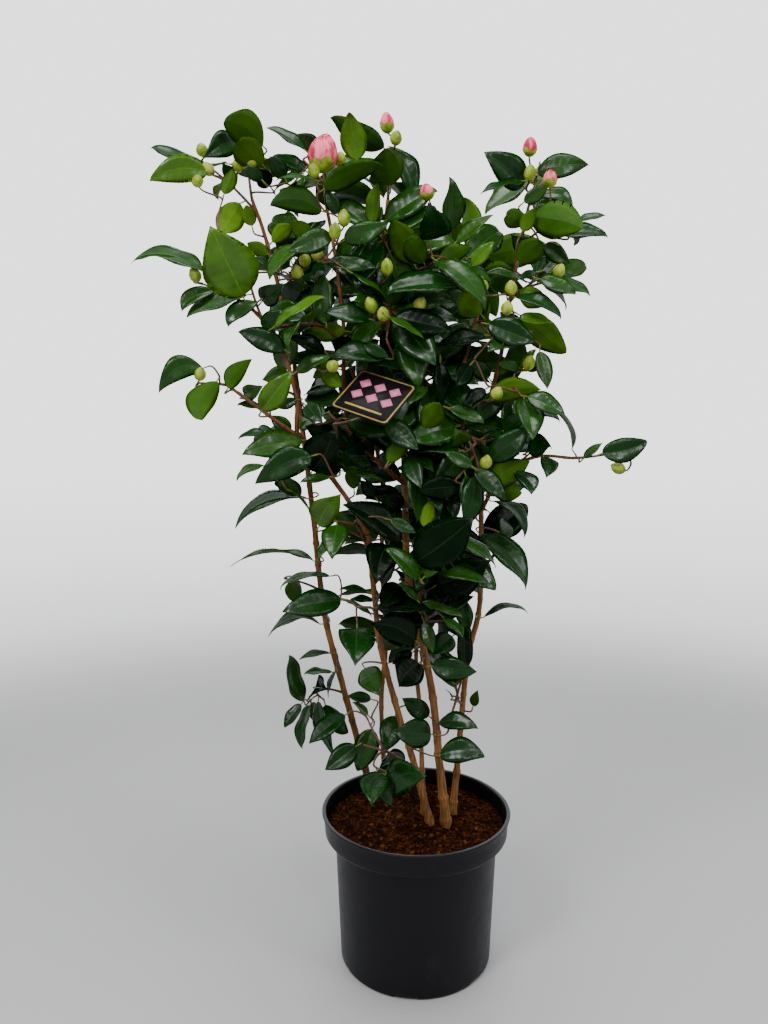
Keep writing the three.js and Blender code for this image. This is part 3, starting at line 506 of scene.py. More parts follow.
    "fresh_under_bow": (335, 362, 313, 378, 14, -65, -68, "fresh", -1),
    "under_arm_light": (291, 430, 270, 416, 15, -55, -58, "middle", 1),
    "grey_under_arm": (296, 400, 276, 408, 11, -60, -64, "dark", 1),
    "shade_over_great": (333, 436, 305, 426, 20, -56, -60, "painted_shade", 1),
    "low_hanging": (354, 489, 352, 466, 17, -64, -66, "middle", -1),
    "low_hanging_dark": (376, 498, 360, 480, 14, -58, -60, "painted_shade", 1),
    "shade_by_broad": (402, 508, 378, 496, 24, -48, -52, "painted_shade", 1),
    "under_broad_low": (412, 652, 392, 664, 13, -44, -48, "painted_shade", 1),
    "beside_buds": (285, 178, 270, 156, 16, -18, -22, "dark", 1),
    "under_bud_right": (338, 214, 326, 190, 14, -42, -46, "dark", 1),
    "olive_behind": (312, 238, 290, 222, 18, -22, -26, "fresh", -1),
    "right_gap": (489, 378, 470, 360, 17, -48, -52, "dark", 1),
    "right_gap_high": (520, 330, 500, 312, 17, -38, -42, "dark", 1),
    "shade_under_tag": (362, 440, 345, 455, 22, -60, -64, "painted_shade", 1),
    "shade_above_tag": (352, 352, 330, 340, 22, -48, -52, "painted_shade", 1),
    "shade_of_centre": (398, 345, 378, 330, 22, -60, -64, "painted_shade", 1),
}

# Pixels by which the middle of a blade lies to the right of and above the line from base to tip.
SEEN_BOWS = {
    "dome": (2, 5), "left_dome": (0, 3), "far_left_top": (0, -4), "far_left_low": (0, 7),
    "small_light_top": (2, 3), "under_dome": (-3, 0), "behind_bloom": (0, -5),
    "under_bloom_left": (0, 9), "far_left": (1, 6), "left_hook": (-7, 1), "left_mid_hook": (-7, 1),
    "left_mid_dark": (0, 2), "gloss_left_of_tag": (0, 3), "left_arm_up": (-5, 0),
    "left_arm_tip": (-3, 12), "left_arm_low": (-9, 0), "left_dark": (1, 6), "great_shade": (5, 3),
    "left_long": (-6, 10), "left_long_low": (1, 7), "left_low_a": (0, 3), "left_low_c": (0, 9),
    "light_curl": (-3, 3), "broad_dark": (2, 4), "right_face": (3, 1), "right_top": (0, 2),
    "right_sprig_long": (3, 5), "right_big": (0, 4), "right_arch": (0, 3), "right_long": (0, 3),
    "right_mid": (0, 4), "centre_right_top": (6, -1), "centre_top_back": (4, 3),
    "centre_right_long": (3, 4), "centre_right_low": (-1, -5), "right_curled": (7, 2),
    "arm_round": (0, -3), "right_side_dark": (2, 5), "right_small_low": (6, -1),
    "right_small_lower": (8, 0), "low_right_out": (6, 5), "low_right_broad": (5, 6),
    "low_right_arch": (2, 5), "low_centre_great": (2, -1), "behind_fork": (0, -3),
    "broad_low": (0, 6), "heart": (0, 3), "dark_round_low": (-4, 0), "foot_right": (0, 6),
    "foot_right_up": (0, 3), "foot_front": (0, 10), "foot_front_left": (-7, 0),
    "low_far_left": (-8, 0), "hook_small": (0, 3), "left_of_fork": (-2, 3), "olive_small": (0, 2),
}

# Limbs that stand before the foliage.
FRONT_LIMBS = ("bough_left", "bough_left_upper", "bough_left_arm", "bough_right_arm", "bough_pink",
               "stem_leaning", "stem_left")

# Limbs inside the crown and behind that bear leaves of their own, and the share where these start.
LEAFY_LIMBS = {
    "bough_back_left": 0.1, "bough_back_right": 0.1, "bough_back_top": 0.1, "stem_back": 0.42,
    "stem_thin": 0.42, "stem_centre": 0.6, "bough_top_centre": 0.1, "bough_right_centre": 0.2,
    "bough_pink": 0.1, "stem_right": 0.7,
}
LIMB_LEAF_STEP = 21
LIMB_LEAF_ORDER = 4

# Flower buds: the pixel where each lies, the millimetres behind the pot's centre, and its kind.
SEEN_BUDS = [
    (202, 150, -32, "green"), (208, 169, -45, "green"), (197, 180, -50, "green"),
    (238, 165, -32, "green"), (251, 162, -32, "green"), (195, 275, -65, "green"),
    (314, 170, -65, "green"), (340, 159, -50, "green"), (344, 218, -90, "green"),
    (335, 231, -95, "green"), (297, 272, -60, "green"), (305, 260, -60, "green"),
    (317, 254, -55, "green"), (396, 138, -35, "green"), (387, 267, -90, "green"),
    (371, 305, -102, "green"), (383, 314, -105, "green"), (420, 304, -90, "green"),
    (482, 285, -75, "green"), (530, 173, -55, "green"), (511, 288, -85, "green"),
    (507, 308, -95, "green"), (559, 271, -55, "green"), (200, 374, -80, "green"),
    (486, 462, -95, "green"), (497, 393, -95, "green"), (529, 363, -70, "green"),
    (618, 468, -62, "green"), (333, 366, -95, "green"), (387, 123, -30, "pink"),
    (427, 192, -62, "pink"), (550, 179, -60, "pink"), (530, 147, -45, "pink"),
]
BLOOM_BUD = (318, 173, -58)
BLOOM_LEAN = (0.30, -0.12, 1)

# Hang tag: the pixels and depths of three of its corners, its thickness, how round its corners
# are as a share of its width, and its loop.
TAG_CORNERS = ((329, 406, -105), (386, 426, -140), (362, 369, -68))
TAG_THICKNESS = 0.7
TAG_CORNER = 0.06
LOOP_RADIUS = 6
LOOP_WIRE = 0.8

# Share of the rule's leaves that a mass keeps where the shrub is open.
OPEN_MASSES = {
    "far_left_top": 0, "left_top": 0.22, "left_reach": 0,
    "left_upper": 0.12, "left_inner": 0.25, "left_arm": 0,
    "left_middle": 0.18, "left_low": 0.04, "low_left": 0.15,
    "pink_top": 0.4, "upper_left": 0.6, "top_centre": 0.4,
    "right_tip": 0.2, "right_top": 0.2, "right_mid_top": 0.35,
    "right_upper": 0.5, "right_lower": 0.5, "right_arm_tip": 0,
    "right_arm": 0.12, "foot": 0.2, "low_right": 0.25,
    "right_low": 0.06, "low_middle": 0.45, "low_left_middle": 0.3,
    "centre_left_low": 0.4, "top_right_centre": 0.4, "centre_low": 0.6,
}

# The room's brightness: low down, and high up before the plant and behind it. It changes over
# these spans of depth and of height, as shares of a sphere's radius.
WORLD_LOW = 0.38
WORLD_HIGH = (0.35, 2.3)
WORLD_BEHIND = (-0.1, 0.8)
WORLD_RISE = (-0.46, -0.02)

# Soft lamps: place, the point each is turned to, size and power.
LAMPS = {
    "key": ((-1.2, -1.5, 2.3), (0, 0, 0.7), (0.6, 0.6), 38),
    "fill": ((1.7, -1.2, 1.6), (0, 0, 0.6), (0.5, 1.2), 16),
    "top": ((0.0, -0.3, 2.6), (0, 0, 0.8), (1.2, 0.7), 28),
    "catch_right": ((0.35, -1.5, 1.45), (-0.1, 0, 0.8), (0.2, 0.2), 6),
    "catch_left": ((-0.32, -1.4, 1.05), (0, 0, 0.8), (0.14, 0.14), 3),
}
FLOOR_HALF = 2.6
FLOOR_FADE = (0.8, 2.2)

# What the functions fill: limbs by name, masses and their twigs, fine twigs to single leaves and
# buds, leaves and their shapes, what leaves keep clear of, and outlines that no later leaf hides.
limbs = {}
masses = []
growths = []
fine_twigs = []
leaves = []
leaf_trees = []
obstacles = []
shown = []


# Shapes --------------------------------------------------------------------------------------

class Pile:
    """Vertices and four-sided faces of many shapes that become one piece."""

    def __init__(self):
        self.points = []
        self.faces = []
        self.slots = []
        self.count = 0

    def add(self, points, faces, slots=0):
        self.points.append(np.asarray(points, float).reshape(-1, 3))
        self.faces.append(faces + self.count)
        self.slots.append(np.broadcast_to(slots, len(faces)))
        self.count += len(self.points[-1])

    def piece(self, name, materials, slot, replaced=()):
        mesh = bpy.data.meshes.new(name)
        points = np.concatenate(self.points) * MM
        faces = np.concatenate(self.faces)
        mesh.vertices.add(len(points))
        mesh.vertices.foreach_set("co", points.ravel())
        mesh.loops.add(faces.size)
        mesh.loops.foreach_set("vertex_index", faces.ravel().astype(np.int32))
        mesh.polygons.add(len(faces))
        mesh.polygons.foreach_set("loop_start", np.arange(0, faces.size, 4, dtype=np.int32))
        mesh.polygons.foreach_set("material_index", np.concatenate(self.slots).astype(np.int32))
        mesh.polygons.foreach_set("use_smooth", np.ones(len(faces), bool))
        mesh.update()
        mesh.validate()
        for material in materials:
            mesh.materials.append(material)
        thing = bpy.data.objects.new(name, mesh)
        bpy.context.scene.collection.objects.link(thing)
        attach(thing, "root")
        if replaced:
            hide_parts(*replaced)


def unit(vector):
    vector = np.asarray(vector, float)
    return vector / np.linalg.norm(vector)


def grid_faces(rows, columns, closed=False):
    """Faces of a grid of points, rows by columns, whose columns may close into a ring."""
    across = columns if closed else columns - 1
    row, column = np.meshgrid(np.arange(rows - 1), np.arange(across), indexing="ij")
    here = row * columns + column
    beside = row * columns + (column + 1) % columns
    return np.stack([here, beside, beside + columns, here + columns], -1).reshape(-1, 4)


def smooth_path(corners, step):
    """A Catmull-Rom curve through corners, as points about a step apart."""
    corners = [np.asarray(c, float) for c in corners]
    ends = [2 * corners[0] - corners[1]] + corners + [2 * corners[-1] - corners[-2]]
    points = []
    for a, b, c, d in zip(ends, ends[1:], ends[2:], ends[3:]):
        count = max(2, round(np.linalg.norm(c - b) / step))
        for t in np.arange(count) / count:
            points.append(0.5 * (2 * b + (c - a) * t + (2 * a - 5 * b + 4 * c - d) * t**2
                                 + (3 * b - a - 3 * c + d) * t**3))
    return np.array(points + [corners[-1]])


def bent_path(start, bend, end, step):
    """A quadratic Bezier curve as points about a step apart."""
    length = np.linalg.norm(bend - start) + np.linalg.norm(end - bend)
    t = np.linspace(0, 1, max(3, round(length / step)))[:, None]
    return start * (1 - t) ** 2 + 2 * bend * t * (1 - t) + end * t**2


def swung_path(start, out, into, end, step):
    """A cubic Bezier curve as points about a step apart."""
    t = np.linspace(0, 1, max(4, round(math.dist(start, end) / step)))[:, None]
    back = 1 - t
    return start * back**3 + 3 * out * back**2 * t + 3 * into * back * t**2 + end * t**3


class Line:
    """A path with the length along it, from which places and headings are read."""

    def __init__(self, points):
        self.points = points
        steps = np.linalg.norm(np.diff(points, axis=0), axis=1)
        self.along = np.concatenate([[0], np.cumsum(steps)])
        self.length = self.along[-1]
        self.carrier = None
        self.used = 0.0

    def carry(self, share):
        """Notes that something grows here, so that the line is kept at least this far."""
        self.used = max(self.used, share)

    def pruned(self):
        """The points as far as the last thing that grows on the line."""
        last = int(np.searchsorted(self.along, self.used * self.length))
        return Line(self.points[:max(3, last + 1)])

    def at(self, share):
        where = share * self.length
        return np.array([np.interp(where, self.along, self.points[:, i]) for i in range(3)])

    def heading(self, share):
        reach = min(2 / self.length, 0.5)
        return unit(self.at(min(1, share + reach)) - self.at(max(0, share - reach)))


def rings(line, sides):
    """For each point of a line, unit vectors that turn about it without twisting."""
    points = line.points
    tangents = np.gradient(points, axis=0)
    tangents /= np.linalg.norm(tangents, axis=1)[:, None]
    first = np.cross(tangents[0], UP if abs(tangents[0][2]) < 0.9 else np.array([1.0, 0, 0]))
    normals = [unit(first)]
    for tangent in tangents[1:]:
        carried = normals[-1] - tangent * np.dot(normals[-1], tangent)
        normals.append(unit(carried))
    normals = np.array(normals)
    binormals = np.cross(tangents, normals)
    angles = np.linspace(0, 2 * math.pi, sides, endpoint=False)
    return (normals[:, None] * np.cos(angles)[None, :, None]
            + binormals[:, None] * np.sin(angles)[None, :, None])


def add_tube(pile, line, radii, sides, slot=0):
    """A closed tube: its radius is one number for each point, or one for each point and side."""
    turns = rings(line, sides)
    radii = np.asarray(radii, float)
    radii = radii[:, None] if radii.ndim == 1 else radii
    body = line.points[:, None] + turns * radii[..., None]
    caps = [body[0] * 0.05 + line.points[0] * 0.95, body[-1] * 0.05 + line.points[-1] * 0.95]
    layers = np.concatenate([caps[:1], body, caps[1:]])
    pile.add(layers, grid_faces(len(layers), sides, closed=True), slot)


def coarse_tree(line, radius):
    """A four-sided tube round a line, to test what runs into it."""
    points = Line(line.points[:: max(1, len(line.points) // 6)])
    body = points.points[:, None] + rings(points, 4) * radius
    return BVHTree.FromPolygons(body.reshape(-1, 3).tolist(), grid_faces(len(body), 4, True).tolist())


def rough(x, y, z, octaves=3):
    return noise.fractal(Vector((x, y, z)), 0.8, 2.1, octaves)


# Materials -----------------------------------------------------------------------------------

def map_range(tree, value, span, results, smooth=False):
    """A node that turns the values of a span into results, evenly or with soft ends."""
    made = tree.nodes.new("ShaderNodeMapRange")
    made.interpolation_type = "SMOOTHSTEP" if smooth else "LINEAR"
    made.inputs["From Min"].default_value, made.inputs["From Max"].default_value = span
    made.inputs["To Min"].default_value, made.inputs["To Max"].default_value = results
    tree.links.new(value, made.inputs["Value"])
    return made


class Nodes:
    """A material under construction, with its Principled shader and short ways to add nodes."""

    def __init__(self, name, colour, roughness, **values):
        self.material = bpy.data.materials.new(name)
        self.material.use_nodes = True
        self.tree = self.material.node_tree
        self.shader = self.tree.nodes["Principled BSDF"]
        self.shader.inputs["Base Color"].default_value = (*colour, 1)
        self.shader.inputs["Roughness"].default_value = roughness
        for key, value in values.items():
            self.shader.inputs[key.replace("_", " ").title().replace("Ior", "IOR")].default_value = value

    def node(self, kind, settings=None, **values):
        made = self.tree.nodes.new(kind)
        for key, value in (settings or {}).items():
            setattr(made, key, value)
        for key, value in values.items():
            made.inputs[key].default_value = value
        return made

    def link(self, source, target):
        self.tree.links.new(source, target)

    def pattern(self, scale, detail=3, roughness=0.55, stretch=(1, 1, 1)):
        """Noise in object space, as a value from 0 to 1."""
        place = self.node("ShaderNodeTexCoord")
        mapping = self.node("ShaderNodeMapping", Scale=stretch)
        made = self.node("ShaderNodeTexNoise", Scale=scale, Detail=detail, Roughness=roughness)
        self.link(place.outputs["Object"], mapping.inputs["Vector"])
        self.link(mapping.outputs["Vector"], made.inputs["Vector"])
        return made.outputs["Fac"]

    def ramp(self, value, stops):
        """Colours or greys at places from 0 to 1."""
        made = self.node("ShaderNodeValToRGB")
        ramp = made.color_ramp
        while len(ramp.elements) < len(stops):
            ramp.elements.new(0.5)
        for element, (place, colour) in zip(ramp.elements, stops):
            element.position = place
            element.color = (*colour, 1) if len(np.shape(colour)) else (colour, colour, colour, 1)
        self.link(value, made.inputs["Fac"])
        return made.outputs["Color"]

    def colour(self, value, stops):
        self.link(self.ramp(value, stops), self.shader.inputs["Base Color"])
        return self

    def gloss(self, value, low, high):
        made = map_range(self.tree, value, (0, 1), (low, high))
        self.link(made.outputs["Result"], self.shader.inputs["Roughness"])
        return self

    def bump(self, value, strength, distance):
        made = self.node("ShaderNodeBump", Strength=strength, Distance=distance)
        self.link(value, made.inputs["Height"])
        before = self.shader.inputs["Normal"]
        if before.is_linked:
            self.link(before.links[0].from_socket, made.inputs["Normal"])
        self.link(made.outputs["Normal"], before)
        return self


def shades(colour, dark, light):
    """Three stops round a colour, for a ramp over noise."""
    colour = np.array(colour)
    return [(0.3, tuple(colour * dark)), (0.5, tuple(colour)), (0.72, tuple(colour * light))]


def leaf_material(name, colour, sheen_level):
    made = Nodes(name, colour, 0.25, ior=1.42)
    made.colour(made.pattern(38, 4), shades(colour, 0.72, 1.35))
    made.gloss(made.pattern(160, 3), 0.18, 0.36)
    made.bump(made.pattern(900, 2), 0.12, 0.0004)
    facing = made.node("ShaderNodeLayerWeight", Blend=0.5)
    sheen = map_range(made.tree, facing.outputs["Facing"], SHEEN_SPAN, (sheen_level, 0))
    made.link(sheen.outputs["Result"], made.shader.inputs["Specular IOR Level"])
    return made.material


def underside_material(name, colour):
    made = Nodes(name, colour, 0.55, specular_ior_level=0.2, ior=1.3)
    made.colour(made.pattern(45, 3), shades(colour, 0.8, 1.2))
    made.bump(made.pattern(1100, 2), 0.15, 0.0003)
    return made.material


def bark_material(name, colour):
    made = Nodes(name, colour, 0.72, specular_ior_level=0.2)
    streaks = made.pattern(420, 5, 0.6, (1, 1, 0.09))
    made.colour(streaks, shades(colour, 0.42, 1.75))
    made.gloss(made.pattern(200, 3), 0.55, 0.85)
    made.bump(streaks, 0.55, 0.0012)
    made.bump(made.pattern(1500, 3), 0.3, 0.0004)
    return made.material


def twig_material():
    colour = (0.085, 0.027, 0.010)
    made = Nodes("twig_bark", colour, 0.5)
    made.colour(made.pattern(300, 4, 0.6, (1, 1, 0.4)), shades(colour, 0.5, 1.8))
    made.bump(made.pattern(900, 3), 0.3, 0.0005)
    return made.material


def plain_plant_material(name, colour, roughness=0.45):
    made = Nodes(name, colour, roughness, specular_ior_level=0.3, ior=1.36)
    made.colour(made.pattern(120, 3), shades(colour, 0.75, 1.25))
    made.bump(made.pattern(700, 2), 0.15, 0.0004)
    return made.material


def pot_material():
    colour = (0.0024, 0.0025, 0.0042)
    made = Nodes("pot_plastic", colour, 0.4, specular_ior_level=0.19)
    dust = made.pattern(26, 5, 0.65, (1, 1, 0.6))
    stops = [(0.35, (0.0025, 0.0025, 0.0036)), (0.62, colour), (0.85, (0.014, 0.012, 0.011))]
    made.colour(dust, stops)
    made.gloss(made.pattern(60, 4), 0.3, 0.5)
    made.bump(made.pattern(900, 2), 0.1, 0.0004)
    made.bump(made.pattern(30, 2, 0.5, (0.15, 0.15, 12)), 0.08, 0.001)
    return made.material


def soil_material(name, dark, light):
    made = Nodes(name, light, 0.95, specular_ior_level=0.05)
    made.colour(made.pattern(260, 6, 0.7), [(0.3, dark), (0.68, light)])
    made.bump(made.pattern(500, 5, 0.7), 0.9, 0.003)
    return made.material


def petal_material():
    made = Nodes("petals", (0.8, 0.3, 0.35), 0.5, specular_ior_level=0.2)
    streaks = made.pattern(150, 4, 0.6, (1, 1, 0.35))
    stops = [(0.34, (0.95, 0.27, 0.31)), (0.48, (0.90, 0.13, 0.21)), (0.57, (0.58, 0.02, 0.08))]
    made.colour(streaks, stops)
    made.bump(made.pattern(300, 2, 0.5, (1, 1, 0.2)), 0.2, 0.0006)
    return made.material


# Pot and soil --------------------------------------------------------------------------------

def rounded(corners, radius=0.8, steps=3):
    """A profile whose corners are turned into short arcs."""
    points = [np.array(corners[0], float)]
    for before, corner, after in zip(corners, corners[1:], corners[2:]):
        before, corner, after = (np.array(p, float) for p in (before, corner, after))
        reach = min(radius, np.linalg.norm(before - corner) / 2.2, np.linalg.norm(after - corner) / 2.2)
        start = corner + unit(before - corner) * reach
        end = corner + unit(after - corner) * reach
        for t in np.linspace(0, 1, steps):
            points.append(start * (1 - t) ** 2 + 2 * corner * t * (1 - t) + end * t**2)
    return points + [np.array(corners[-1], float)]


def pot_profile():
    """Radii and heights from the pot's underside up the outside, over the lip and down inside."""
    band_foot = POT_HEIGHT - BAND_HEIGHT
    inner_band = BAND_RADIUS - WALL
    corners = [
        (0.5, 0), (POT_BASE_RADIUS - 12, 0), (POT_BASE_RADIUS - 2, 0), (POT_BASE_RADIUS, 3),
        (POT_BASE_RADIUS + 0.3, 9), (POT_SHOULDER_RADIUS, band_foot), (BAND_RADIUS - 3, band_foot),
        (BAND_RADIUS - 0.6, band_foot + 3), (BAND_RADIUS + 1, POT_HEIGHT - LIP),
        (POT_RIM_RADIUS, POT_HEIGHT - LIP), (POT_RIM_RADIUS, POT_HEIGHT),
        (inner_band + 1, POT_HEIGHT), (inner_band, POT_HEIGHT - LIP), (inner_band - 1, band_foot + WALL),
        (POT_SHOULDER_RADIUS - WALL, band_foot - WALL), (POT_BASE_RADIUS - WALL, BASE_THICKNESS),
        (0.5, BASE_THICKNESS),
    ]
    curve = rounded(corners)
    profile = []
    for here, there in zip(curve, curve[1:]):
        parts = max(1, int(np.linalg.norm(there - here) // WALL_STEP))
        profile += [here + (there - here) * i / parts for i in range(parts)]
    return np.array(profile + [curve[-1]])


def make_pot():
    profile = pot_profile()
    angles = np.linspace(0, 2 * math.pi, POT_SIDES, endpoint=False)
    radius = np.repeat(profile[:, :1], POT_SIDES, axis=1)
    height = np.repeat(profile[:, 1:], POT_SIDES, axis=1)
    for i in range(FOOT_NOTCHES):
        middle = (i + 0.35) / FOOT_NOTCHES * 2 * math.pi
        aside = np.abs((angles - middle + math.pi) % (2 * math.pi) - math.pi) * POT_BASE_RADIUS
        inside = (aside < FOOT_NOTCH["width"] / 2)[None] & (radius > POT_BASE_RADIUS - 10)
        height = np.where(inside & (height < FOOT_NOTCH["height"]), FOOT_NOTCH["height"], height)
    wobble = 0.35 * np.sin(2 * angles + 0.6) + 0.2 * np.sin(5 * angles)
    radius = radius - np.abs(wobble) * (height / POT_HEIGHT)
    points = np.stack([radius * np.cos(angles), radius * np.sin(angles), height], -1)
    pile = Pile()
    pile.add(points, grid_faces(len(profile), POT_SIDES, closed=True))
    pile.piece("pot_shell", [pot_material()], "pot", ["pot"])


def soil_height(x, y):
    """The soil's surface: mounded to the left, lower at the wall, and lumpy."""
    out = math.hypot(x, y) / SOIL_RADIUS
    fall = (SOIL_TOP - SOIL_EDGE) * max(0, out - 0.72) / 0.28
    mound = 5 * math.exp(-((x + 55) ** 2 + (y + 15) ** 2) / 50**2)
    lumps = 3.2 * rough(x / 22, y / 22, 3.1, 5) + 1.4 * rough(x / 6, y / 6, 7.7, 3)
    return SOIL_TOP - fall + mound + lumps


def make_soil():
    rows, columns = SOIL_GRID
    radii = SOIL_RADIUS * np.linspace(0.004, 1, rows)
    angles = np.linspace(0, 2 * math.pi, columns, endpoint=False)
    points = []
    for radius in radii:
        for angle in angles:
            x, y = radius * math.cos(angle), radius * math.sin(angle)
            points.append((x, y, soil_height(x, y)))
    skirt = [(x * 0.995, y * 0.995, SOIL_EDGE - SOIL_SKIRT) for x, y, _ in points[-columns:]]
    bottom = [(x * 0.01, y * 0.01, SOIL_EDGE - SOIL_SKIRT) for x, y, _ in skirt]
    pile = Pile()
    pile.add(points + skirt + bottom, grid_faces(rows + 2, columns, closed=True)[:, ::-1])
    compost = soil_material("compost", (0.004, 0.0010, 0.0004), (0.048, 0.012, 0.0025))
    pile.piece("soil_bed", [compost], "soil", ["soil"])
    make_soil_litter()


def spot_on_soil(draw, reach):
    """A drawn place on the soil, and its angle round the pot."""
    out = SOIL_RADIUS * math.sqrt(draw.random()) * reach
    angle = draw.random() * 2 * math.pi
    return out * math.cos(angle), out * math.sin(angle), angle


def add_fibre(litter, draw):
    x, y, _ = spot_on_soil(draw, 0.985)
    middle = np.array([x, y, soil_height(x, y) + draw.uniform(0, 1.6)])
    turn = draw.random() * 2 * math.pi
    reach = draw.uniform(*FIBRE_HALF)
    reach = reach * np.array([math.cos(turn), math.sin(turn), draw.uniform(-0.25, 0.5)])
    bow = np.array([draw.uniform(-3, 3), draw.uniform(-3, 3), draw.uniform(0, 3)])
    ends = [middle - reach, middle + reach]
    limit = SOIL_RADIUS - 0.5
    for end in ends:
        if math.hypot(end[0], end[1]) > limit:
            end[:2] *= limit / math.hypot(end[0], end[1])
    line = Line(bent_path(ends[0], middle + bow, ends[1], 3))
    kind = draw.choices([*litter], [4, 5, 2])[0]
    thick = draw.uniform(*FIBRE_RADII)
    add_tube(litter[kind], line, thick * np.linspace(1, 0.4, len(line.points)), 3)


def add_crumb(litter, draw):
    x, y, angle = spot_on_soil(draw, 0.96)
    size = draw.uniform(*CRUMB_SIZES)
    flatness = [draw.uniform(0.6, 1.4), draw.uniform(0.6, 1.4), draw.uniform(0.4, 0.9)]
    shape = CRUMB * size * np.array(flatness)
    shape = shape * np.array([[draw.uniform(0.6, 1.1)] for _ in range(8)])
    turned = [Quaternion((0, 0, 1), angle * 7) @ Vector(p) for p in shape]
    place = np.array([x, y, soil_height(x, y) + size * 0.3])
    kind = draw.choices([*litter], [6, 5, 1])[0]
    litter[kind].add(np.array([tuple(p) for p in turned]) + place, CRUMB_FACES)


def make_soil_litter():
    """Fibres and crumbs of peat and coir that lie on the soil."""
    draw = random.Random(SEED + 7)
    litter = {kind: Pile() for kind in LITTER_COLOURS}
    for _ in range(SOIL_FIBRES):
        add_fibre(litter, draw)
    for _ in range(SOIL_CRUMBS):
        add_crumb(litter, draw)
    for kind, pile in litter.items():
        material = soil_material("litter_" + kind, *LITTER_COLOURS[kind])
        pile.piece("soil_litter_" + kind, [material], "soil")


# Limbs ---------------------------------------------------------------------------------------

def bark_radii(line, radii, flare, seed):
    """Radii with the bark's ridges, knots and the flare at a stem's foot."""
    draw = random.Random(seed)
    share = line.along / line.length
    taper = radii[0] + (radii[1] - radii[0]) * share
    spread = 1 + flare * np.exp(-line.along / FLARE_HEIGHT)
    knots = np.zeros(len(share))
    where = draw.uniform(*FIRST_KNOT)
    while where < line.length:
        knots += draw.uniform(*KNOT_SWELL) * np.exp(-((line.along - where) / KNOT_LENGTH) ** 2)
        where += draw.uniform(*KNOT_STEPS)
    body = taper * spread * (1 + knots)
    angles = np.linspace(0, 2 * math.pi, LIMB_SIDES, endpoint=False)
    around = [(RELIEF_ROUND * math.cos(a), RELIEF_ROUND * math.sin(a)) for a in angles]
    relief = np.array([[rough(x, y, s / RELIEF_LENGTH + seed, 4) for x, y in around]
                       for s in line.along])
    return body[:, None] * (1 + RELIEF_DEPTH * relief)


def keep_limb(name, line, radii):
    tree = coarse_tree(line, max(radii) * 0.9)
    limbs[name] = {"line": line, "seen": as_seen(line.points[::4])}
    obstacles.append((line, tree))


def root_on(limb, share):
    line = limbs[limb]["line"]
    return line.at(share), line.heading(share)


def make_limbs():
    stems, boughs = Pile(), Pile()
    for number, (name, (radii, foot, path)) in enumerate(STEMS.items()):
        foot = [(*foot, SOIL_TOP - STEM_SINK), (*foot, SOIL_TOP + STEM_RISE)]
        line = Line(smooth_path(foot + path, LIMB_STEP))
        keep_limb(name, line, radii)
        add_tube(stems, line, bark_radii(line, radii, STEM_FLARE, number), LIMB_SIDES)
    for number, (name, (carrier, share, radii, path)) in enumerate(BOUGHS.items()):
        root, _ = root_on(carrier, share)
        line = Line(smooth_path([root, *path], LIMB_STEP))
        keep_limb(name, line, radii)
        seed = BOUGH_SEED + number
        add_tube(boughs, line, bark_radii(line, radii, BOUGH_FLARE, seed), LIMB_SIDES)
    old_bark = bark_material("old_bark", (0.20, 0.086, 0.026))
    young_bark = bark_material("bark", (0.145, 0.054, 0.018))
    stems.piece("stems", [old_bark], "bark", [*STEMS])
    boughs.piece("boughs", [young_bark], "bark", [*BOUGHS])


# Leaves --------------------------------------------------------------------------------------

def blade_template():
    """Faces of a closed blade whose two sides share their rim, and each face's material."""
    rows, columns = BLADE_ROWS, len(BLADE_COLUMNS)
    top = np.arange(rows * columns).reshape(rows, columns)
    bottom = top.copy()
    bottom[1:-1, 1:-1] = rows * columns + np.arange((rows - 2) * (columns - 2)).reshape(rows - 2, -1)
    upper = grid_faces(rows, columns)
    lower = bottom.reshape(-1)[upper][:, ::-1]
    middle = np.tile(np.arange(columns - 1) == (columns - 1) // 2, rows - 1)
    slots = np.concatenate([np.where(middle, 2, 0), np.where(middle, 2, 1)])
    return np.concatenate([upper, lower]), slots


BLADE_FACES, BLADE_SLOTS = blade_template()


def half_width(share):
    """A leaf's half width, as a share of its widest: round at the base, tapering to a point."""
    below = np.clip(1 - share / WIDEST, 0, 1)
    above = np.clip((share - WIDEST) / (1 - WIDEST), 0, 1)
    return np.maximum((1 - below**2.1) ** 0.62 * (1 - above**1.75) ** 1.08, 0.012)


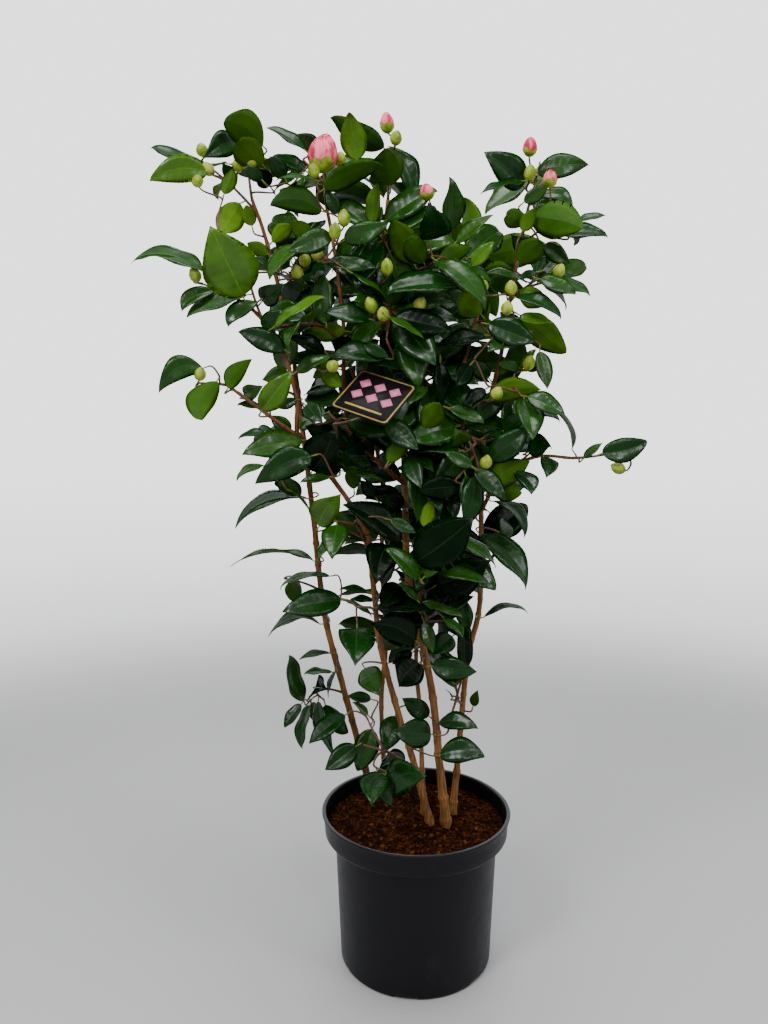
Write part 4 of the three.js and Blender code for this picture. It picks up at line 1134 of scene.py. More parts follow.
class Leaf:
    """A leaf: where its blade starts and runs, and how it bends."""

    def __init__(self, base, along, normal, length, draw, width=LEAF_WIDTH):
        self.base = base
        self.along = along
        self.normal = unit(normal - along * np.dot(normal, along))
        self.aside = np.cross(self.normal, self.along)
        self.length = length
        self.width = width
        self.droop, self.curl, self.twist = draw["droop"], draw["curl"], draw["twist"]
        self.fold, self.wave, self.phase = draw["fold"], draw["wave"], draw["phase"]
        self.bow = np.zeros(3)

    def relief(self, shares, sides, x):
        """How far the blade rises over its rib: folded up, with raised veins and a wavy rim."""
        rise = self.fold * np.abs(x) * (1 - 0.45 * np.abs(sides))[None]
        veins = 2 * math.pi * (VEINS + 0.3 * self.phase)
        slant = (0.1 + 0.012 * self.phase) * np.abs(sides)[None]
        ripple = np.sin(veins * (shares[:, None] - slant))
        height = (0.004 + 0.0006 * self.phase) * self.length
        rise = rise + height * ripple * (1 - np.abs(2 * np.abs(sides) - 1))[None]
        waves = np.sin(2 * math.pi * 1.6 * shares[:, None] + self.phase + (sides > 0)[None] * 1.9)
        return rise + self.wave * self.length * waves * sides[None] ** 2 * half_width(shares)[:, None]

    def surface(self, shares, sides):
        """Points of the upper side and the way up at each, at shares of the length."""
        bend = self.droop * shares + self.curl * np.clip((shares - 0.78) / 0.22, 0, 1) ** 2
        step = np.diff(shares, prepend=0)[:, None] * self.length
        ahead = np.cos(bend)[:, None] * self.along - np.sin(bend)[:, None] * self.normal
        over = np.sin(bend)[:, None] * self.along + np.cos(bend)[:, None] * self.normal
        rib = self.base + np.cumsum(ahead * step, axis=0)
        rib = rib + np.outer(4 * shares * (1 - shares), self.bow)
        turn = (self.twist * shares)[:, None]
        aside = np.cos(turn) * self.aside + np.sin(turn) * over
        over = np.cos(turn) * over - np.sin(turn) * self.aside
        half = half_width(shares) * self.length * self.width / 2
        x = half[:, None] * sides[None]
        rise = self.relief(shares, sides, x)
        points = rib[:, None] + aside[:, None] * x[..., None] + over[:, None] * rise[..., None]
        return points, over

    def stretch_to(self, tip):
        """Turns and scales the blade so that its bent rib ends at a tip."""
        ribs, _ = self.surface(np.linspace(0, 1, BLADE_ROWS), np.array([0.0]))
        end = ribs[-1, 0] - self.base
        ahead, over = np.dot(end, self.along), np.dot(end, self.normal)
        bend = math.atan2(over, ahead)
        self.along, self.normal = (self.along * math.cos(bend) - self.normal * math.sin(bend),
                                   self.normal * math.cos(bend) + self.along * math.sin(bend))
        longer = np.linalg.norm(tip - self.base) / math.hypot(ahead, over)
        self.length *= longer
        self.width /= longer

    def coarse(self):
        shares = np.linspace(0.06, 0.97, 6)
        points, _ = self.surface(shares, np.array([-1.0, 0, 1]))
        self.middle = points[3, 1]
        self.outline = np.concatenate([points[:, 0], points[::-1, 2]])
        return points.reshape(-1, 3)

    def tree(self):
        return BVHTree.FromPolygons(self.coarse().tolist(), COARSE_FACES)

    def add_to(self, pile):
        shares = np.linspace(0, 1, BLADE_ROWS)
        sides = np.array(BLADE_COLUMNS, float)
        points, over = self.surface(shares, sides)
        teeth = (np.arange(BLADE_ROWS) % 2 * 2 - 1) * TOOTH_DEPTH * self.length
        teeth = teeth * np.sin(math.pi * shares) ** 0.5
        outward = points[:, -1] - points[:, 0]
        outward /= np.maximum(np.linalg.norm(outward, axis=1), 1e-6)[:, None]
        points[:, 0] -= outward * teeth[:, None] / 2
        points[:, -1] += outward * teeth[:, None] / 2
        under = points[1:-1, 1:-1] - over[1:-1, None] * LEAF_THICKNESS
        both = np.concatenate([points.reshape(-1, 3), under.reshape(-1, 3)])
        pile.add(both, BLADE_FACES, BLADE_SLOTS)


COARSE_FACES = grid_faces(6, 3).tolist()


def draw_leaf(draw, order, first_turn):
    return {
        "turn": first_turn + order * LEAF_TURN + (draw.random() - 0.5) * 0.7,
        "spread": math.radians(28 + min(order, 3) * 12 + (draw.random() - 0.5) * 16),
        "size": 0.8 + 0.32 * draw.random() + (0.06 if order > 0 else -0.1),
        "droop": 0.15 + 0.55 * draw.random(),
        "curl": 0.2 + 1.1 * draw.random(),
        "fold": 0.12 + 0.34 * draw.random(),
        "twist": (draw.random() - 0.5) * 0.9,
        "wave": 0.012 + 0.022 * draw.random(),
        "phase": draw.random() * 6.3,
        "tilt": np.array([draw.random() - 0.5, draw.random() - 0.5, draw.random() - 0.5]) * 0.7,
    }


def make_leaf(point, heading, turn, size, draw):
    """A leaf at a point of a twig, turned about it, with its face to the light and outward."""
    outward = unit([point[0] - PLANT_AXIS[0], (point[1] - PLANT_AXIS[1]) * FAN, 0.01])
    sideways = unit(np.cross(heading, UP + np.array([0.01, 0, 0])))
    other = np.cross(sideways, heading)
    across = sideways * math.cos(turn) + other * math.sin(turn)
    along = heading * math.cos(draw["spread"]) + across * math.sin(draw["spread"])
    along = unit(along - LEAF_SAG * UP)
    light = UP * FACE_UP + outward * FACE_OUT + draw["tilt"]
    stalk_end = point + unit(along * 0.75 + across * 0.5) * STALK
    leaf = Leaf(stalk_end, along, light, LEAF_LENGTH * size, draw)
    leaf.root = point
    return leaf


def share_out(mass, point):
    return math.dist((0, 0, 0), (point - mass["centre"]) / mass["reach"])


def in_own_space(mass, point):
    inside = share_out(mass, point) <= OWN_SPACE
    return inside and any(share_out(other, point) <= CROWN_SPACE for other in masses)


def as_seen(points):
    """Where points lie in the photograph's pixels, and how far off they are."""
    out = np.asarray(points) * MM - CAMERA_PLACE
    away = out[..., 1] * math.cos(CAMERA_PITCH) - out[..., 2] * math.sin(CAMERA_PITCH)
    rise = out[..., 2] * math.cos(CAMERA_PITCH) + out[..., 1] * math.sin(CAMERA_PITCH)
    across = PHOTO_MIDDLE[0] + PHOTO_FOCUS * out[..., 0] / away
    down = PHOTO_MIDDLE[1] - PHOTO_FOCUS * rise / away
    return np.stack([across, down], -1), away


def place_of(pixel, depth):
    """The point behind a pixel of the photograph, at millimetres behind the pot's centre."""
    aside = (pixel[0] - PHOTO_MIDDLE[0]) / PHOTO_FOCUS
    rise = (PHOTO_MIDDLE[1] - pixel[1]) / PHOTO_FOCUS
    forward = math.cos(CAMERA_PITCH) + rise * math.sin(CAMERA_PITCH)
    upward = rise * math.cos(CAMERA_PITCH) - math.sin(CAMERA_PITCH)
    away = (depth * MM - CAMERA_PLACE[1]) / forward
    return np.array([CAMERA_PLACE[0] + aside * away, depth * MM, CAMERA_PLACE[2] + upward * away]) / MM


def hides_front_limb(leaf):
    ring, distance = as_seen(leaf.outline)
    low, high = ring.min(axis=0), ring.max(axis=0)
    for limb in FRONT_LIMBS:
        spots, far = limbs[limb]["seen"]
        near = np.all((spots > low) & (spots < high), axis=1) & (far > distance.mean())
        if any(inside_ring(spot, ring) for spot in spots[near]):
            return True
    return False


def hides_seen_leaf(leaf):
    """Whether a leaf stands before one of those that are told apart from the front."""
    spots, distance = as_seen(leaf.coarse())
    for low, high, ring, far in shown:
        near = np.all((spots > low) & (spots < high), axis=1) & (distance < far)
        if near.sum() > 1 and sum(inside_ring(spot, ring) for spot in spots[near]) > 1:
            return True
        if distance.mean() < far and inside_ring(ring.mean(axis=0), as_seen(leaf.outline)[0]):
            return True
    return False


def keep_in_sight(ring, distance):
    """Notes an outline, in pixels, that no leaf of the rule may stand before."""
    shown.append((ring.min(axis=0), ring.max(axis=0), ring, np.mean(distance)))


def inside_ring(spot, ring):
    x, y = spot
    here, there = ring, np.roll(ring, -1, axis=0)
    crossing = (here[:, 1] > y) != (there[:, 1] > y)
    rise = np.where(crossing, there[:, 1] - here[:, 1], 1)
    at = here[:, 0] + (y - here[:, 1]) / rise * (there[:, 0] - here[:, 0])
    return np.count_nonzero(crossing & (x < at)) % 2 == 1


def is_clear(leaf, own_twig):
    tree = leaf.tree()
    reach = leaf.length * 0.6
    for other, other_tree in leaf_trees:
        if math.dist(other.middle, leaf.middle) < reach + other.length * 0.6 and tree.overlap(other_tree):
            return False
    for line, other_tree in obstacles:
        if line is not own_twig and tree.overlap(other_tree):
            return False
    leaf_trees.append((leaf, tree))
    return True


def fit_leaf(mass, twig, share, draw):
    """The leaf at the largest size that stays in the crown and clear of all else."""
    point = twig.at(share)
    heading = twig.heading(share)
    for shrink in LEAF_SIZES:
        for swing in LEAF_SWINGS:
            leaf = make_leaf(point, heading, draw["turn"] + swing, draw["size"] * shrink, draw)
            tip = leaf.base + leaf.along * leaf.length
            if not in_own_space(mass, tip) or hides_seen_leaf(leaf) or hides_front_limb(leaf):
                continue
            if is_clear(leaf, twig):
                return leaf
    return None


def seen_leaf(name, push, draw):
    """A leaf from its base and tip as seen, pushed some millimetres along the line of sight."""
    across, down, tip_across, tip_down, wide, depth, tip_depth, tint, face = SEEN_LEAVES[name]
    scale = (CAMERA_DISTANCE + depth) / PHOTO_FOCUS
    eye = np.array(CAMERA_PLACE) / MM
    base = place_of((across, down), depth + push)
    tip = place_of((tip_across, tip_down), tip_depth + push)
    hidden = (LEAST_SLENDER * wide * scale) ** 2 - np.dot(tip - base, tip - base)
    tip = tip + unit(eye - tip) * min(MOST_TOWARD, math.sqrt(max(0, hidden)))
    length = math.dist(base, tip)
    along = (tip - base) / length
    width = max(wide * scale, LEAF_WIDTH * length * 0.9)
    sight = unit(eye - (base + tip) / 2)
    flat = unit(sight - along * np.dot(sight, along))
    lean = math.acos(min(1, wide * scale / width))
    side = np.cross(along, flat)
    normal = flat * math.cos(lean) * face + side * math.sin(lean) * (1 if side[2] > 0 else -1)
    leaf = Leaf(base, along, normal, length, draw, width / length)
    if name in SEEN_BOWS:
        aside, up = SEEN_BOWS[name]
        level = unit(np.cross(sight, UP))
        leaf.bow = (np.cross(level, sight) * up - level * aside) * scale
    leaf.stretch_to(tip)
    leaf.tint = tint
    return leaf


def nearest_carrier(point, carriers):
    """The closest place on a limb or a twig, rather below a point than above it."""
    best = (1e9, None, None)
    for line in carriers:
        gaps = np.linalg.norm(line.points - point, axis=1)
        gaps = gaps + CLIMB_COST * np.maximum(0, line.points[:, 2] - point[2] + 4)
        spot = int(np.argmin(gaps))
        if gaps[spot] < best[0]:
            best = (gaps[spot], line, spot)
    _, line, spot = best
    return line, line.along[spot] / line.length


def reach_out(end, heading_in, carriers):
    """A fine twig from the nearest limb or twig to a point, where it arrives on a heading."""
    carrier, share = nearest_carrier(end, carriers)
    carrier.carry(share)
    start = carrier.at(share)
    gap = np.linalg.norm(end - start)
    if gap < LEAST_TWIG:
        return start, None
    out = start + carrier.heading(share) * gap * 0.25
    line = Line(swung_path(start, out, end - heading_in * gap * 0.3, end, 3))
    line.carrier = (carrier, share)
    line.used = 1.0
    carriers.append(line)
    fine_twigs.append(line)
    return start, line


def place_seen_leaves(draw):
    carriers = [limb["line"] for limb in limbs.values()]
    carriers += [twig["line"] for growth in growths for twig in growth["twigs"]]
    waiting = []
    for name in SEEN_LEAVES:
        numbers = draw_leaf(draw, 1, 0)
        numbers["droop"] *= 0.8
        for push in SEEN_PUSHES:
            leaf = seen_leaf(name, push, numbers)
            if is_clear(leaf, None):
                break
        else:
            leaf = seen_leaf(name, 0, numbers)
            leaf_trees.append((leaf, leaf.tree()))
        ring, distance = as_seen(leaf.outline)
        middle = ring.mean(axis=0)
        keep_in_sight(middle + (ring - middle) * SHOWN_SHARE, distance)
        leaves.append(leaf)
        waiting.append(leaf)
    for leaf in waiting:
        leaf.end = leaf.base - unit(leaf.along * 0.85 - leaf.normal * 0.25 + UP * 0.2) * STALK
        carrier, share = nearest_carrier(leaf.end, carriers)
        leaf.far = np.linalg.norm(leaf.end - carrier.at(share))
    for leaf in sorted(waiting, key=lambda leaf: leaf.far):
        start, line = reach_out(leaf.end, leaf.along, carriers)
        leaf.root = start if line is None else leaf.end
        if line is not None:
            obstacles.append((line, coarse_tree(line, FINE_TWIG_CLEAR)))
    return carriers


# Twigs ---------------------------------------------------------------------------------------

def read_masses():
    for limb, rows in FOLIAGE.items():
        for name, share, centre, half in rows:
            masses.append({
                "name": name, "limb": limb, "at": share, "centre": np.array(centre, float),
                "reach": np.array([half[0], MASS_DEPTH, half[1]], float),
                "shoots": 4 if sum(half) > SMALL_MASS else 3})


def shoot_end(mass, axis, number, turn):
    """Where the shoots of a mass end: evenly round its axis, from its far end backwards."""
    level = 1 - number / mass["shoots"] * SHOOTS_BACK
    ring = math.sqrt(max(0, 1 - level * level))
    side = np.cross(axis, UP)
    side = unit(side) if np.linalg.norm(side) > 0.2 else np.array([1.0, 0, 0])
    side = side * math.cos(turn) + np.cross(axis, side) * math.sin(turn)
    out = (axis * level + side * ring) * mass["reach"]
    share = max(SHOOT_LEAST, 1 - LEAF_SPREAD * LEAF_LENGTH / np.linalg.norm(out))
    return mass["centre"] + out * share


def add_twig(growth, points, draw, carrier=None):
    line = Line(points)
    line.carrier = carrier
    first_turn = draw.random() * 2 * math.pi
    draws = [draw_leaf(draw, order, first_turn) for order in range(len(LEAF_SPACING))]
    growth["twigs"].append({"line": line, "draws": draws})
    obstacles.append((line, coarse_tree(line, TWIG_ROOT_RADIUS)))
    return line


def grow_twigs(mass, number):
    """A leader from the limb past the mass's centre, shoots from that, and finer twigs on them."""
    draw = random.Random(SEED + number * MASS_SEED_STEP)
    growth = {"mass": mass, "twigs": []}
    root, heading = root_on(mass["limb"], mass["at"])
    to_centre = mass["centre"] - root
    axis = unit(unit(to_centre) + UP * 0.5)
    bend = root + heading * np.linalg.norm(to_centre) * 0.25 + to_centre * 0.4
    leader = add_twig(growth, bent_path(root, bend, shoot_end(mass, axis, 0, 0), TWIG_STEP), draw)
    first_turn = draw.random() * 2 * math.pi
    for i in range(1, mass["shoots"]):
        share = FORKS_FROM + FORKS_OVER * i / mass["shoots"]
        fork = leader.at(share)
        end = shoot_end(mass, axis, i, first_turn + i * SHOOT_TURN)
        middle = (fork + end) / 2 + leader.heading(share) * 8
        add_twig(growth, bent_path(fork, middle, end, TWIG_STEP), draw, (leader, share))
    for twig in list(growth["twigs"]):
        line = twig["line"]
        for share in SIDE_TWIG_SHARES:
            length = draw.uniform(*SIDE_TWIG_LENGTHS)
            turn = draw.random() * 2 * math.pi
            heading = line.heading(share)
            side = unit(np.cross(heading, UP + np.array([0.01, 0, 0])))
            side = side * math.cos(turn) + np.cross(heading, side) * math.sin(turn)
            fork = line.at(share)
            end = fork + unit(heading * 0.8 + side * 0.8 + UP * 0.2) * length
            if line.length > LEAST_FORKED and share_out(mass, end) < SIDE_TWIG_REACH:
                points = bent_path(fork, (fork + end) / 2 + heading * 4, end, TWIG_STEP)
                add_twig(growth, points, draw, (line, share))
    growths.append(growth)


def grow_leaves(growth, draw):
    kept = OPEN_MASSES.get(growth["mass"]["name"], 1)
    for twig in growth["twigs"]:
        line = twig["line"]
        for order, from_tip in enumerate(LEAF_SPACING):
            share = 1 - from_tip / line.length
            if share < LEAFLESS_SHARE:
                break
            if draw.random() > kept:
                continue
            leaf = fit_leaf(growth["mass"], line, share, twig["draws"][order])
            if leaf:
                leaf.tint = leaf_tint(leaf, order, twig["draws"][order])
                leaves.append(leaf)
                line.carry(share)


def clothe_limb(name, first_share, draw):
    """Leaves straight on a limb, wherever the masses leave room for them."""
    line = limbs[name]["line"]
    first_turn = draw.random() * 2 * math.pi
    steps = np.arange(first_share * line.length, line.length, LIMB_LEAF_STEP)
    for order, along in enumerate(steps):
        numbers = draw_leaf(draw, order, first_turn)
        share = along / line.length
        for swing in LEAF_SWINGS:
            turn = numbers["turn"] + swing
            leaf = make_leaf(line.at(share), line.heading(share), turn, numbers["size"], numbers)
            if hides_seen_leaf(leaf) or hides_front_limb(leaf):
                continue
            if leaf.outline[:, 1].max() * MM < cad_box[1][1] and is_clear(leaf, line):
                leaf.tint = leaf_tint(leaf, LIMB_LEAF_ORDER, numbers)
                leaves.append(leaf)
                break


def leaf_tint(leaf, order, draw):
    """Leaves near the top and the tips get lighter tints than those inside and below: partly the paler
    green of young leaves, partly painted light from above and painted shade inside and below.
    """
    height = (leaf.base[2] - 400) / 700
    out = abs(leaf.base[0] - PLANT_AXIS[0]) / 330
    # Height and reach outward stand for painted light and shade as well as for age; the lowest values get
    # the darkest tint, which is painted shade.
    youth_and_light = height * 0.9 + out * 0.55 - order * 0.05 + (draw["phase"] / 6.3 - 0.5) * 0.75
    for name, limit in TINT_LIMITS:
        if youth_and_light < limit:
            return name
    return "light"


def make_twigs():
    """The twigs of all masses as far as something grows on them, and the finer ones to seen leaves."""
    pile = Pile()
    for line in fine_twigs:
        add_tube(pile, line, np.linspace(*FINE_TWIG_RADII, len(line.points)), TWIG_SIDES)
    for growth in growths:
        for twig in reversed(growth["twigs"]):
            line = twig["line"]
            if line.used:
                if line.carrier:
                    line.carrier[0].carry(line.carrier[1])
                kept = line.pruned()
                radii = np.linspace(TWIG_ROOT_RADIUS, TWIG_TIP_RADIUS, len(kept.points))
                add_tube(pile, kept, radii, TWIG_SIDES)
    pile.piece("twigs", [twig_material()], "bark", ["leaves_" + mass["name"] for mass in masses])


def make_stalks():
    pile = Pile()
    for leaf in leaves:
        bend = (leaf.root + leaf.base) / 2 + leaf.normal * -0.8
        line = Line(bent_path(leaf.root, bend, leaf.base + leaf.along * 1.5, 2.5))
        add_tube(pile, line, np.linspace(*STALK_RADII, len(line.points)), STALK_SIDES)
    pile.piece("leaf_stalks", [plain_plant_material("stalk", (0.12, 0.16, 0.02))], "foliage")


def make_blades():
    """The leaf blades, joined by tint."""
    for name, (colour, under_colour) in TINTS.items():
        under = underside_material("under_" + name, under_colour)
        rib = plain_plant_material("rib_" + name, tuple(np.array(colour) * 1.6 + 0.005))
        upper = leaf_material("leaf_" + name, colour, SHEEN[name])
        alike = [leaf for leaf in leaves if leaf.tint == name]
        for number, first in enumerate(range(0, len(alike), MOST_IN_PIECE)):
            pile = Pile()
            for leaf in alike[first:first + MOST_IN_PIECE]:
                leaf.add_to(pile)
            pile.piece(f"leaves_{name}_{number + 1}", [upper, under, rib], "foliage")


def make_foliage():
    read_masses()
    for number, mass in enumerate(masses):
        grow_twigs(mass, number)
    draw = random.Random(SEED + 3)
    carriers = place_seen_leaves(draw)
    make_buds(carriers, draw)
    make_tag(carriers)
    for growth in growths:
        grow_leaves(growth, draw)
    for name, first_share in LEAFY_LIMBS.items():
        clothe_limb(name, first_share, draw)
    make_twigs()
    make_stalks()
    make_blades()


# Buds and tag --------------------------------------------------------------------------------

class Seat:
    """A place with an axis, on which a bud is drawn."""

    def __init__(self, origin, axis, turn=0.0):
        self.origin = np.asarray(origin, float)
        self.axis = unit(axis)
        side = unit(np.cross(self.axis, [0.3, 1, 0.2]))
        other = np.cross(self.axis, side)
        self.side = side * math.cos(turn) + other * math.sin(turn)
        self.other = np.cross(self.axis, self.side)

    def points(self, radius, angle, height):
        radius, angle, height = np.broadcast_arrays(radius, angle, height)
        out = self.side * np.cos(angle)[..., None] + self.other * np.sin(angle)[..., None]
        return self.origin + out * radius[..., None] + self.axis * height[..., None]


def bud_profile(share):
    """A bud's radius at a share of its length: full below the middle, drawn to a blunt tip."""
    return np.sin(math.pi * np.clip(share, 0, 1) ** 0.88) ** 0.62


def add_bud_core(pile, place, length, radius):
    rows, columns = 14, 18
    shares = np.linspace(0.01, 0.99, rows)[:, None]
    angles = np.linspace(0, 2 * math.pi, columns, endpoint=False)[None]
    points = place.points(radius * 0.93 * bud_profile(shares), angles, length * shares)
    pile.add(points, grid_faces(rows, columns, closed=True))


def add_scale(pile, place, length, radius, angle, foot, top, half_angle, lift):
    """A cupped scale or petal that lies on a bud, its free rim standing a little off."""
    rows, columns = 9, 9
    up = np.linspace(0, 1, rows)[:, None]
    aside = np.linspace(-1, 1, columns)[None]
    edge = np.sin(math.pi * (0.22 + 0.72 * up)) ** 0.6
    share = foot + (top - foot) * up - 0.10 * (top - foot) * aside**2 * up
    turn = angle + half_angle * aside * edge
    rim = lift * (0.25 + up * 0.9 + 0.5 * aside**2)
    spread = radius * bud_profile(share)
    outer = place.points(spread + rim, turn, length * share)
    inner = place.points(np.maximum(spread + rim - 0.35, 0.05), turn, length * share)
    pile.add(outer, grid_faces(rows, columns))
    pile.add(inner, grid_faces(rows, columns)[:, ::-1])


def as_seen_outline(place, length, radius):
    """A square round a bud as it is seen, and how far off it is."""
    middle, distance = as_seen(place.origin + place.axis * length / 2)
    half = 0.8 * radius * PHOTO_FOCUS * MM / distance
    return middle + half * np.array([(-1, -1), (1, -1), (1, 1), (-1, 1)]), distance


def add_green_bud(pile, place, length, radius):
    add_bud_core(pile, place, length, radius)
    for order in range(GREEN_SCALES):
        foot = 0.055 * order
        top = min(1, foot + 0.55)
        add_scale(pile, place, length, radius, order * SCALE_TURN, foot, top, 1.15, radius * 0.05)


def add_pink_bud(petals, sepals, place, length, radius):
    add_bud_core(petals, place, length, radius)
    for order in range(PINK_SCALES):
        turn = order * SCALE_TURN
        add_scale(petals, place, length, radius, turn + 1, 0.3, 1.0, 1.1, radius * 0.05)
        add_scale(sepals, place, length, radius, turn, 0, 0.34 + 0.05 * order, 1.05, radius * 0.09)


def add_open_bud(petals, sepals, place, length, radius):
    add_bud_core(petals, place, length, radius)
    for order in range(BLOOM_PETALS):
        foot = max(0.02, 0.34 - 0.03 * order)
        top = 1.04 - 0.035 * order
        add_scale(petals, place, length, radius, order * SCALE_TURN, foot, top, 0.95, 1.0)
    for order in range(BLOOM_SEPALS):
        turn = order * SCALE_TURN + 0.6
        add_scale(sepals, place, length, radius, turn, 0, 0.16 + 0.045 * order, 0.62, 1.4)


def make_buds(carriers, draw):
    green, petals = Pile(), Pile()
    for across, down, depth, kind in SEEN_BUDS:
        length, radius = BUD_SIZES[kind]
        length *= draw.uniform(0.85, 1.12)
        middle = place_of((across, down), depth)
        carrier, share = nearest_carrier(middle - UP * length * 0.7, carriers)
        outward = unit(middle - carrier.at(share))
        axis = unit(outward * 0.5 + UP * 0.55 + carrier.heading(share) * 0.3)
        foot = middle - axis * length / 2
        reach_out(foot + axis, axis, carriers)
        place = Seat(foot, axis, draw.random() * 6)
        keep_in_sight(*as_seen_outline(place, length, radius))
        if kind == "green":
            add_green_bud(green, place, length, radius)
        else:
            add_pink_bud(petals, green, place, length, radius)
    foot = place_of(BLOOM_BUD[:2], BLOOM_BUD[2])
    place = Seat(foot, BLOOM_LEAN)
    reach_out(foot + place.axis, place.axis, carriers)
    add_open_bud(petals, green, place, *BUD_SIZES["bloom"])
    petals.piece("pink_petals", [petal_material()], "foliage")
    green.piece("bud_scales", [bud_material()], "foliage")


def bud_material():
    colour = (0.27, 0.36, 0.028)
    made = Nodes("bud_green", colour, 0.42, specular_ior_level=0.3, ior=1.36)
    stops = [(0.34, (0.12, 0.21, 0.010)), (0.5, colour), (0.68, (0.50, 0.50, 0.085))]
    made.colour(made.pattern(110, 4, 0.6, (1, 1, 0.6)), stops)
    made.bump(made.pattern(900, 2), 0.15, 0.0004)
    return made.material


def add_tag_loop(pile, hole, aside, up, carriers):
    """The ring through the tag's hole, and the strap from it to the nearest twig."""
    turn = np.linspace(0, 2 * math.pi, 24, endpoint=False)
    middle = hole + up * LOOP_RADIUS
    loop = middle + np.outer(np.cos(turn), aside * LOOP_RADIUS) + np.outer(np.sin(turn), up * LOOP_RADIUS)
    ring = Line(np.concatenate([loop, loop[:1]]))
    top = hole + up * 2 * LOOP_RADIUS
    carrier, share = nearest_carrier(top, carriers)
    carrier.carry(share)
    start = carrier.at(share)
    strap = Line(bent_path(top, (hole + start) / 2 + up * 14, start, 3))
    for line in (ring, strap):
        add_tube(pile, line, np.full(len(line.points), LOOP_WIRE), 8)


def rounded_card(inset):
    """A card's outline with round corners, in shares of its width and height."""
    outline = []
    for number, (x, y) in enumerate([(1, 1), (0, 1), (0, 0), (1, 0)]):
        centre = np.array([abs(x - TAG_CORNER - inset), abs(y - TAG_CORNER - inset)])
        for step in range(5):
            turn = (number + step / 4) * math.pi / 2
            outline.append(centre + TAG_CORNER * np.array([math.cos(turn), math.sin(turn)]))
    return outline


def make_tag(carriers):
    """The hang tag: a black card with a gold edge and a plain pattern of pink lozenges."""
    corner, beside, above = (place_of(row[:2], row[2]) for row in TAG_CORNERS)
    wide, tall = beside - corner, above - corner
    face = unit(np.cross(wide, tall))
    face = face if face[1] < 0 else -face

    def spot(across, up, lift):
        return corner + wide * across + tall * up + face * lift

    def slab(pile, outline, low, high):
        """A flat closed shape from its outline, in shares of the card's width and height."""
        middle = np.mean(outline, axis=0)
        rings_of = [(middle, low), (None, low), (None, high), (middle, high)]
        layers = [[spot(*(point if centre is None else centre + (point - centre) * 0.02), lift)
                   for point in np.array(outline)] for centre, lift in rings_of]
        pile.add(layers, grid_faces(4, len(outline), closed=True))

    card, gold, pink = Pile(), Pile(), Pile()
    slab(card, rounded_card(0), 0, TAG_THICKNESS)
    slab(gold, rounded_card(0.025), TAG_THICKNESS - 0.1, TAG_THICKNESS + 0.12)
    slab(card, rounded_card(0.05), TAG_THICKNESS, TAG_THICKNESS + 0.2)
    for row in range(2):
        for column in range(3):
            centre = np.array([0.24 + column * 0.26, 0.44 + row * 0.27])
            lozenge = [centre + np.array(p) for p in ((0.11, 0), (0, 0.12), (-0.11, 0), (0, -0.12))]
            slab(pink, lozenge, TAG_THICKNESS + 0.1, TAG_THICKNESS + 0.3)
    bar = [(0.82, 0.2), (0.18, 0.2), (0.18, 0.16), (0.82, 0.16)]
    slab(gold, bar, TAG_THICKNESS + 0.1, TAG_THICKNESS + 0.3)
    keep_in_sight(*as_seen([spot(x, y, 0) for x, y in ((0, 0), (1, 0), (1, 1), (0, 1))]))
    add_tag_loop(card, spot(0.62, 1.0, TAG_THICKNESS), unit(wide), unit(tall), carriers)
    card.piece("tag_card", [plain_plant_material("tag_black", (0.004, 0.004, 0.004), 0.5)], "pot")
    gold.piece("tag_gold", [plain_plant_material("tag_gold", (0.40, 0.27, 0.07), 0.4)], "pot")
    pink.piece("tag_pink", [plain_plant_material("tag_pink", (0.62, 0.16, 0.30), 0.4)], "pot")


# Stage ---------------------------------------------------------------------------------------

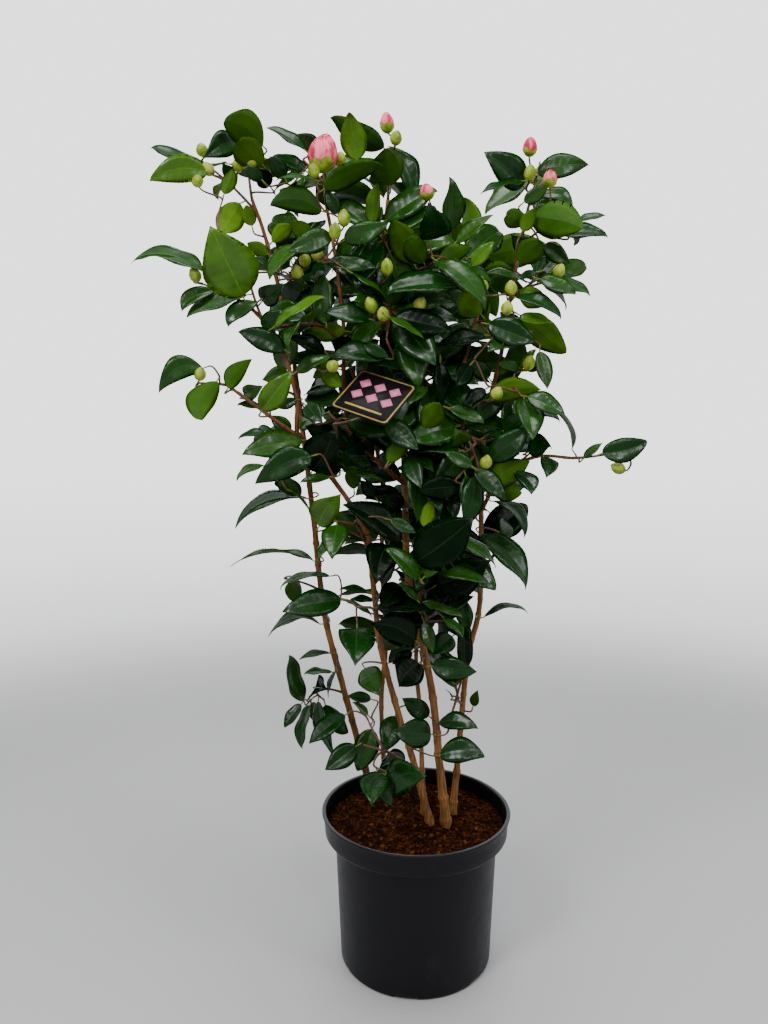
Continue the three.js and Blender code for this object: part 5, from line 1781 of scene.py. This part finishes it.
def make_stage():
    mesh = bpy.data.meshes.new("floor")
    corners = [(x * FLOOR_HALF, y * FLOOR_HALF, 0) for x, y in ((-1, -1), (1, -1), (1, 1), (-1, 1))]
    mesh.from_pydata(corners, [], [(0, 1, 2, 3)])
    floor = bpy.data.objects.new("floor", mesh)
    bpy.context.scene.collection.objects.link(floor)
    made = Nodes("floor_paint", (0.39, 0.39, 0.395), 0.6)
    place = made.node("ShaderNodeTexCoord")
    spread = made.node("ShaderNodeVectorMath", {"operation": "LENGTH"})
    fade = map_range(made.tree, spread.outputs["Value"], FLOOR_FADE, (0, 1), smooth=True)
    clear = made.node("ShaderNodeBsdfTransparent")
    mix = made.node("ShaderNodeMixShader")
    made.link(place.outputs["Object"], spread.inputs[0])
    made.link(fade.outputs["Result"], mix.inputs["Fac"])
    made.link(made.shader.outputs["BSDF"], mix.inputs[1])
    made.link(clear.outputs["BSDF"], mix.inputs[2])
    made.link(mix.outputs["Shader"], made.tree.nodes["Material Output"].inputs["Surface"])
    mesh.materials.append(made.material)


def add_area_light(name, place, target, size, power):
    data = bpy.data.lights.new(name, "AREA")
    data.shape = "RECTANGLE"
    data.size, data.size_y = size
    data.energy = power
    lamp = bpy.data.objects.new(name, data)
    lamp.location = place
    lamp.rotation_euler = (Vector(target) - Vector(place)).to_track_quat("-Z", "Y").to_euler()
    bpy.context.scene.collection.objects.link(lamp)


def make_world():
    """Even light from all round, dimmer low down and brighter behind the plant."""
    world = bpy.data.worlds.new("studio")
    world.use_nodes = True
    tree = world.node_tree
    background = tree.nodes["Background"]
    place = tree.nodes.new("ShaderNodeTexCoord")
    parts = tree.nodes.new("ShaderNodeSeparateXYZ")
    tree.links.new(place.outputs["Generated"], parts.inputs["Vector"])
    behind = map_range(tree, parts.outputs["Y"], WORLD_BEHIND, WORLD_HIGH, smooth=True)
    height = map_range(tree, parts.outputs["Z"], WORLD_RISE, (WORLD_LOW, 1), smooth=True)
    tree.links.new(behind.outputs["Result"], height.inputs["To Max"])
    tree.links.new(height.outputs["Result"], background.inputs["Strength"])
    background.inputs["Color"].default_value = (0.97, 0.98, 1.0, 1)
    bpy.context.scene.world = world


def make_lights():
    make_world()
    for name, (place, target, size, power) in LAMPS.items():
        add_area_light(name, place, target, size, power)


def make_camera():
    data = bpy.data.cameras.new("camera")
    data.lens = CAMERA_LENS
    data.sensor_width = CAMERA_SENSOR
    camera = bpy.data.objects.new("camera", data)
    camera.location = CAMERA_PLACE
    camera.rotation_euler = (math.pi / 2 - CAMERA_PITCH, 0, 0)
    bpy.context.scene.collection.objects.link(camera)
    bpy.context.scene.camera = camera


make_camera()
make_lights()
make_stage()
make_pot()
make_soil()
make_limbs()
make_foliage()
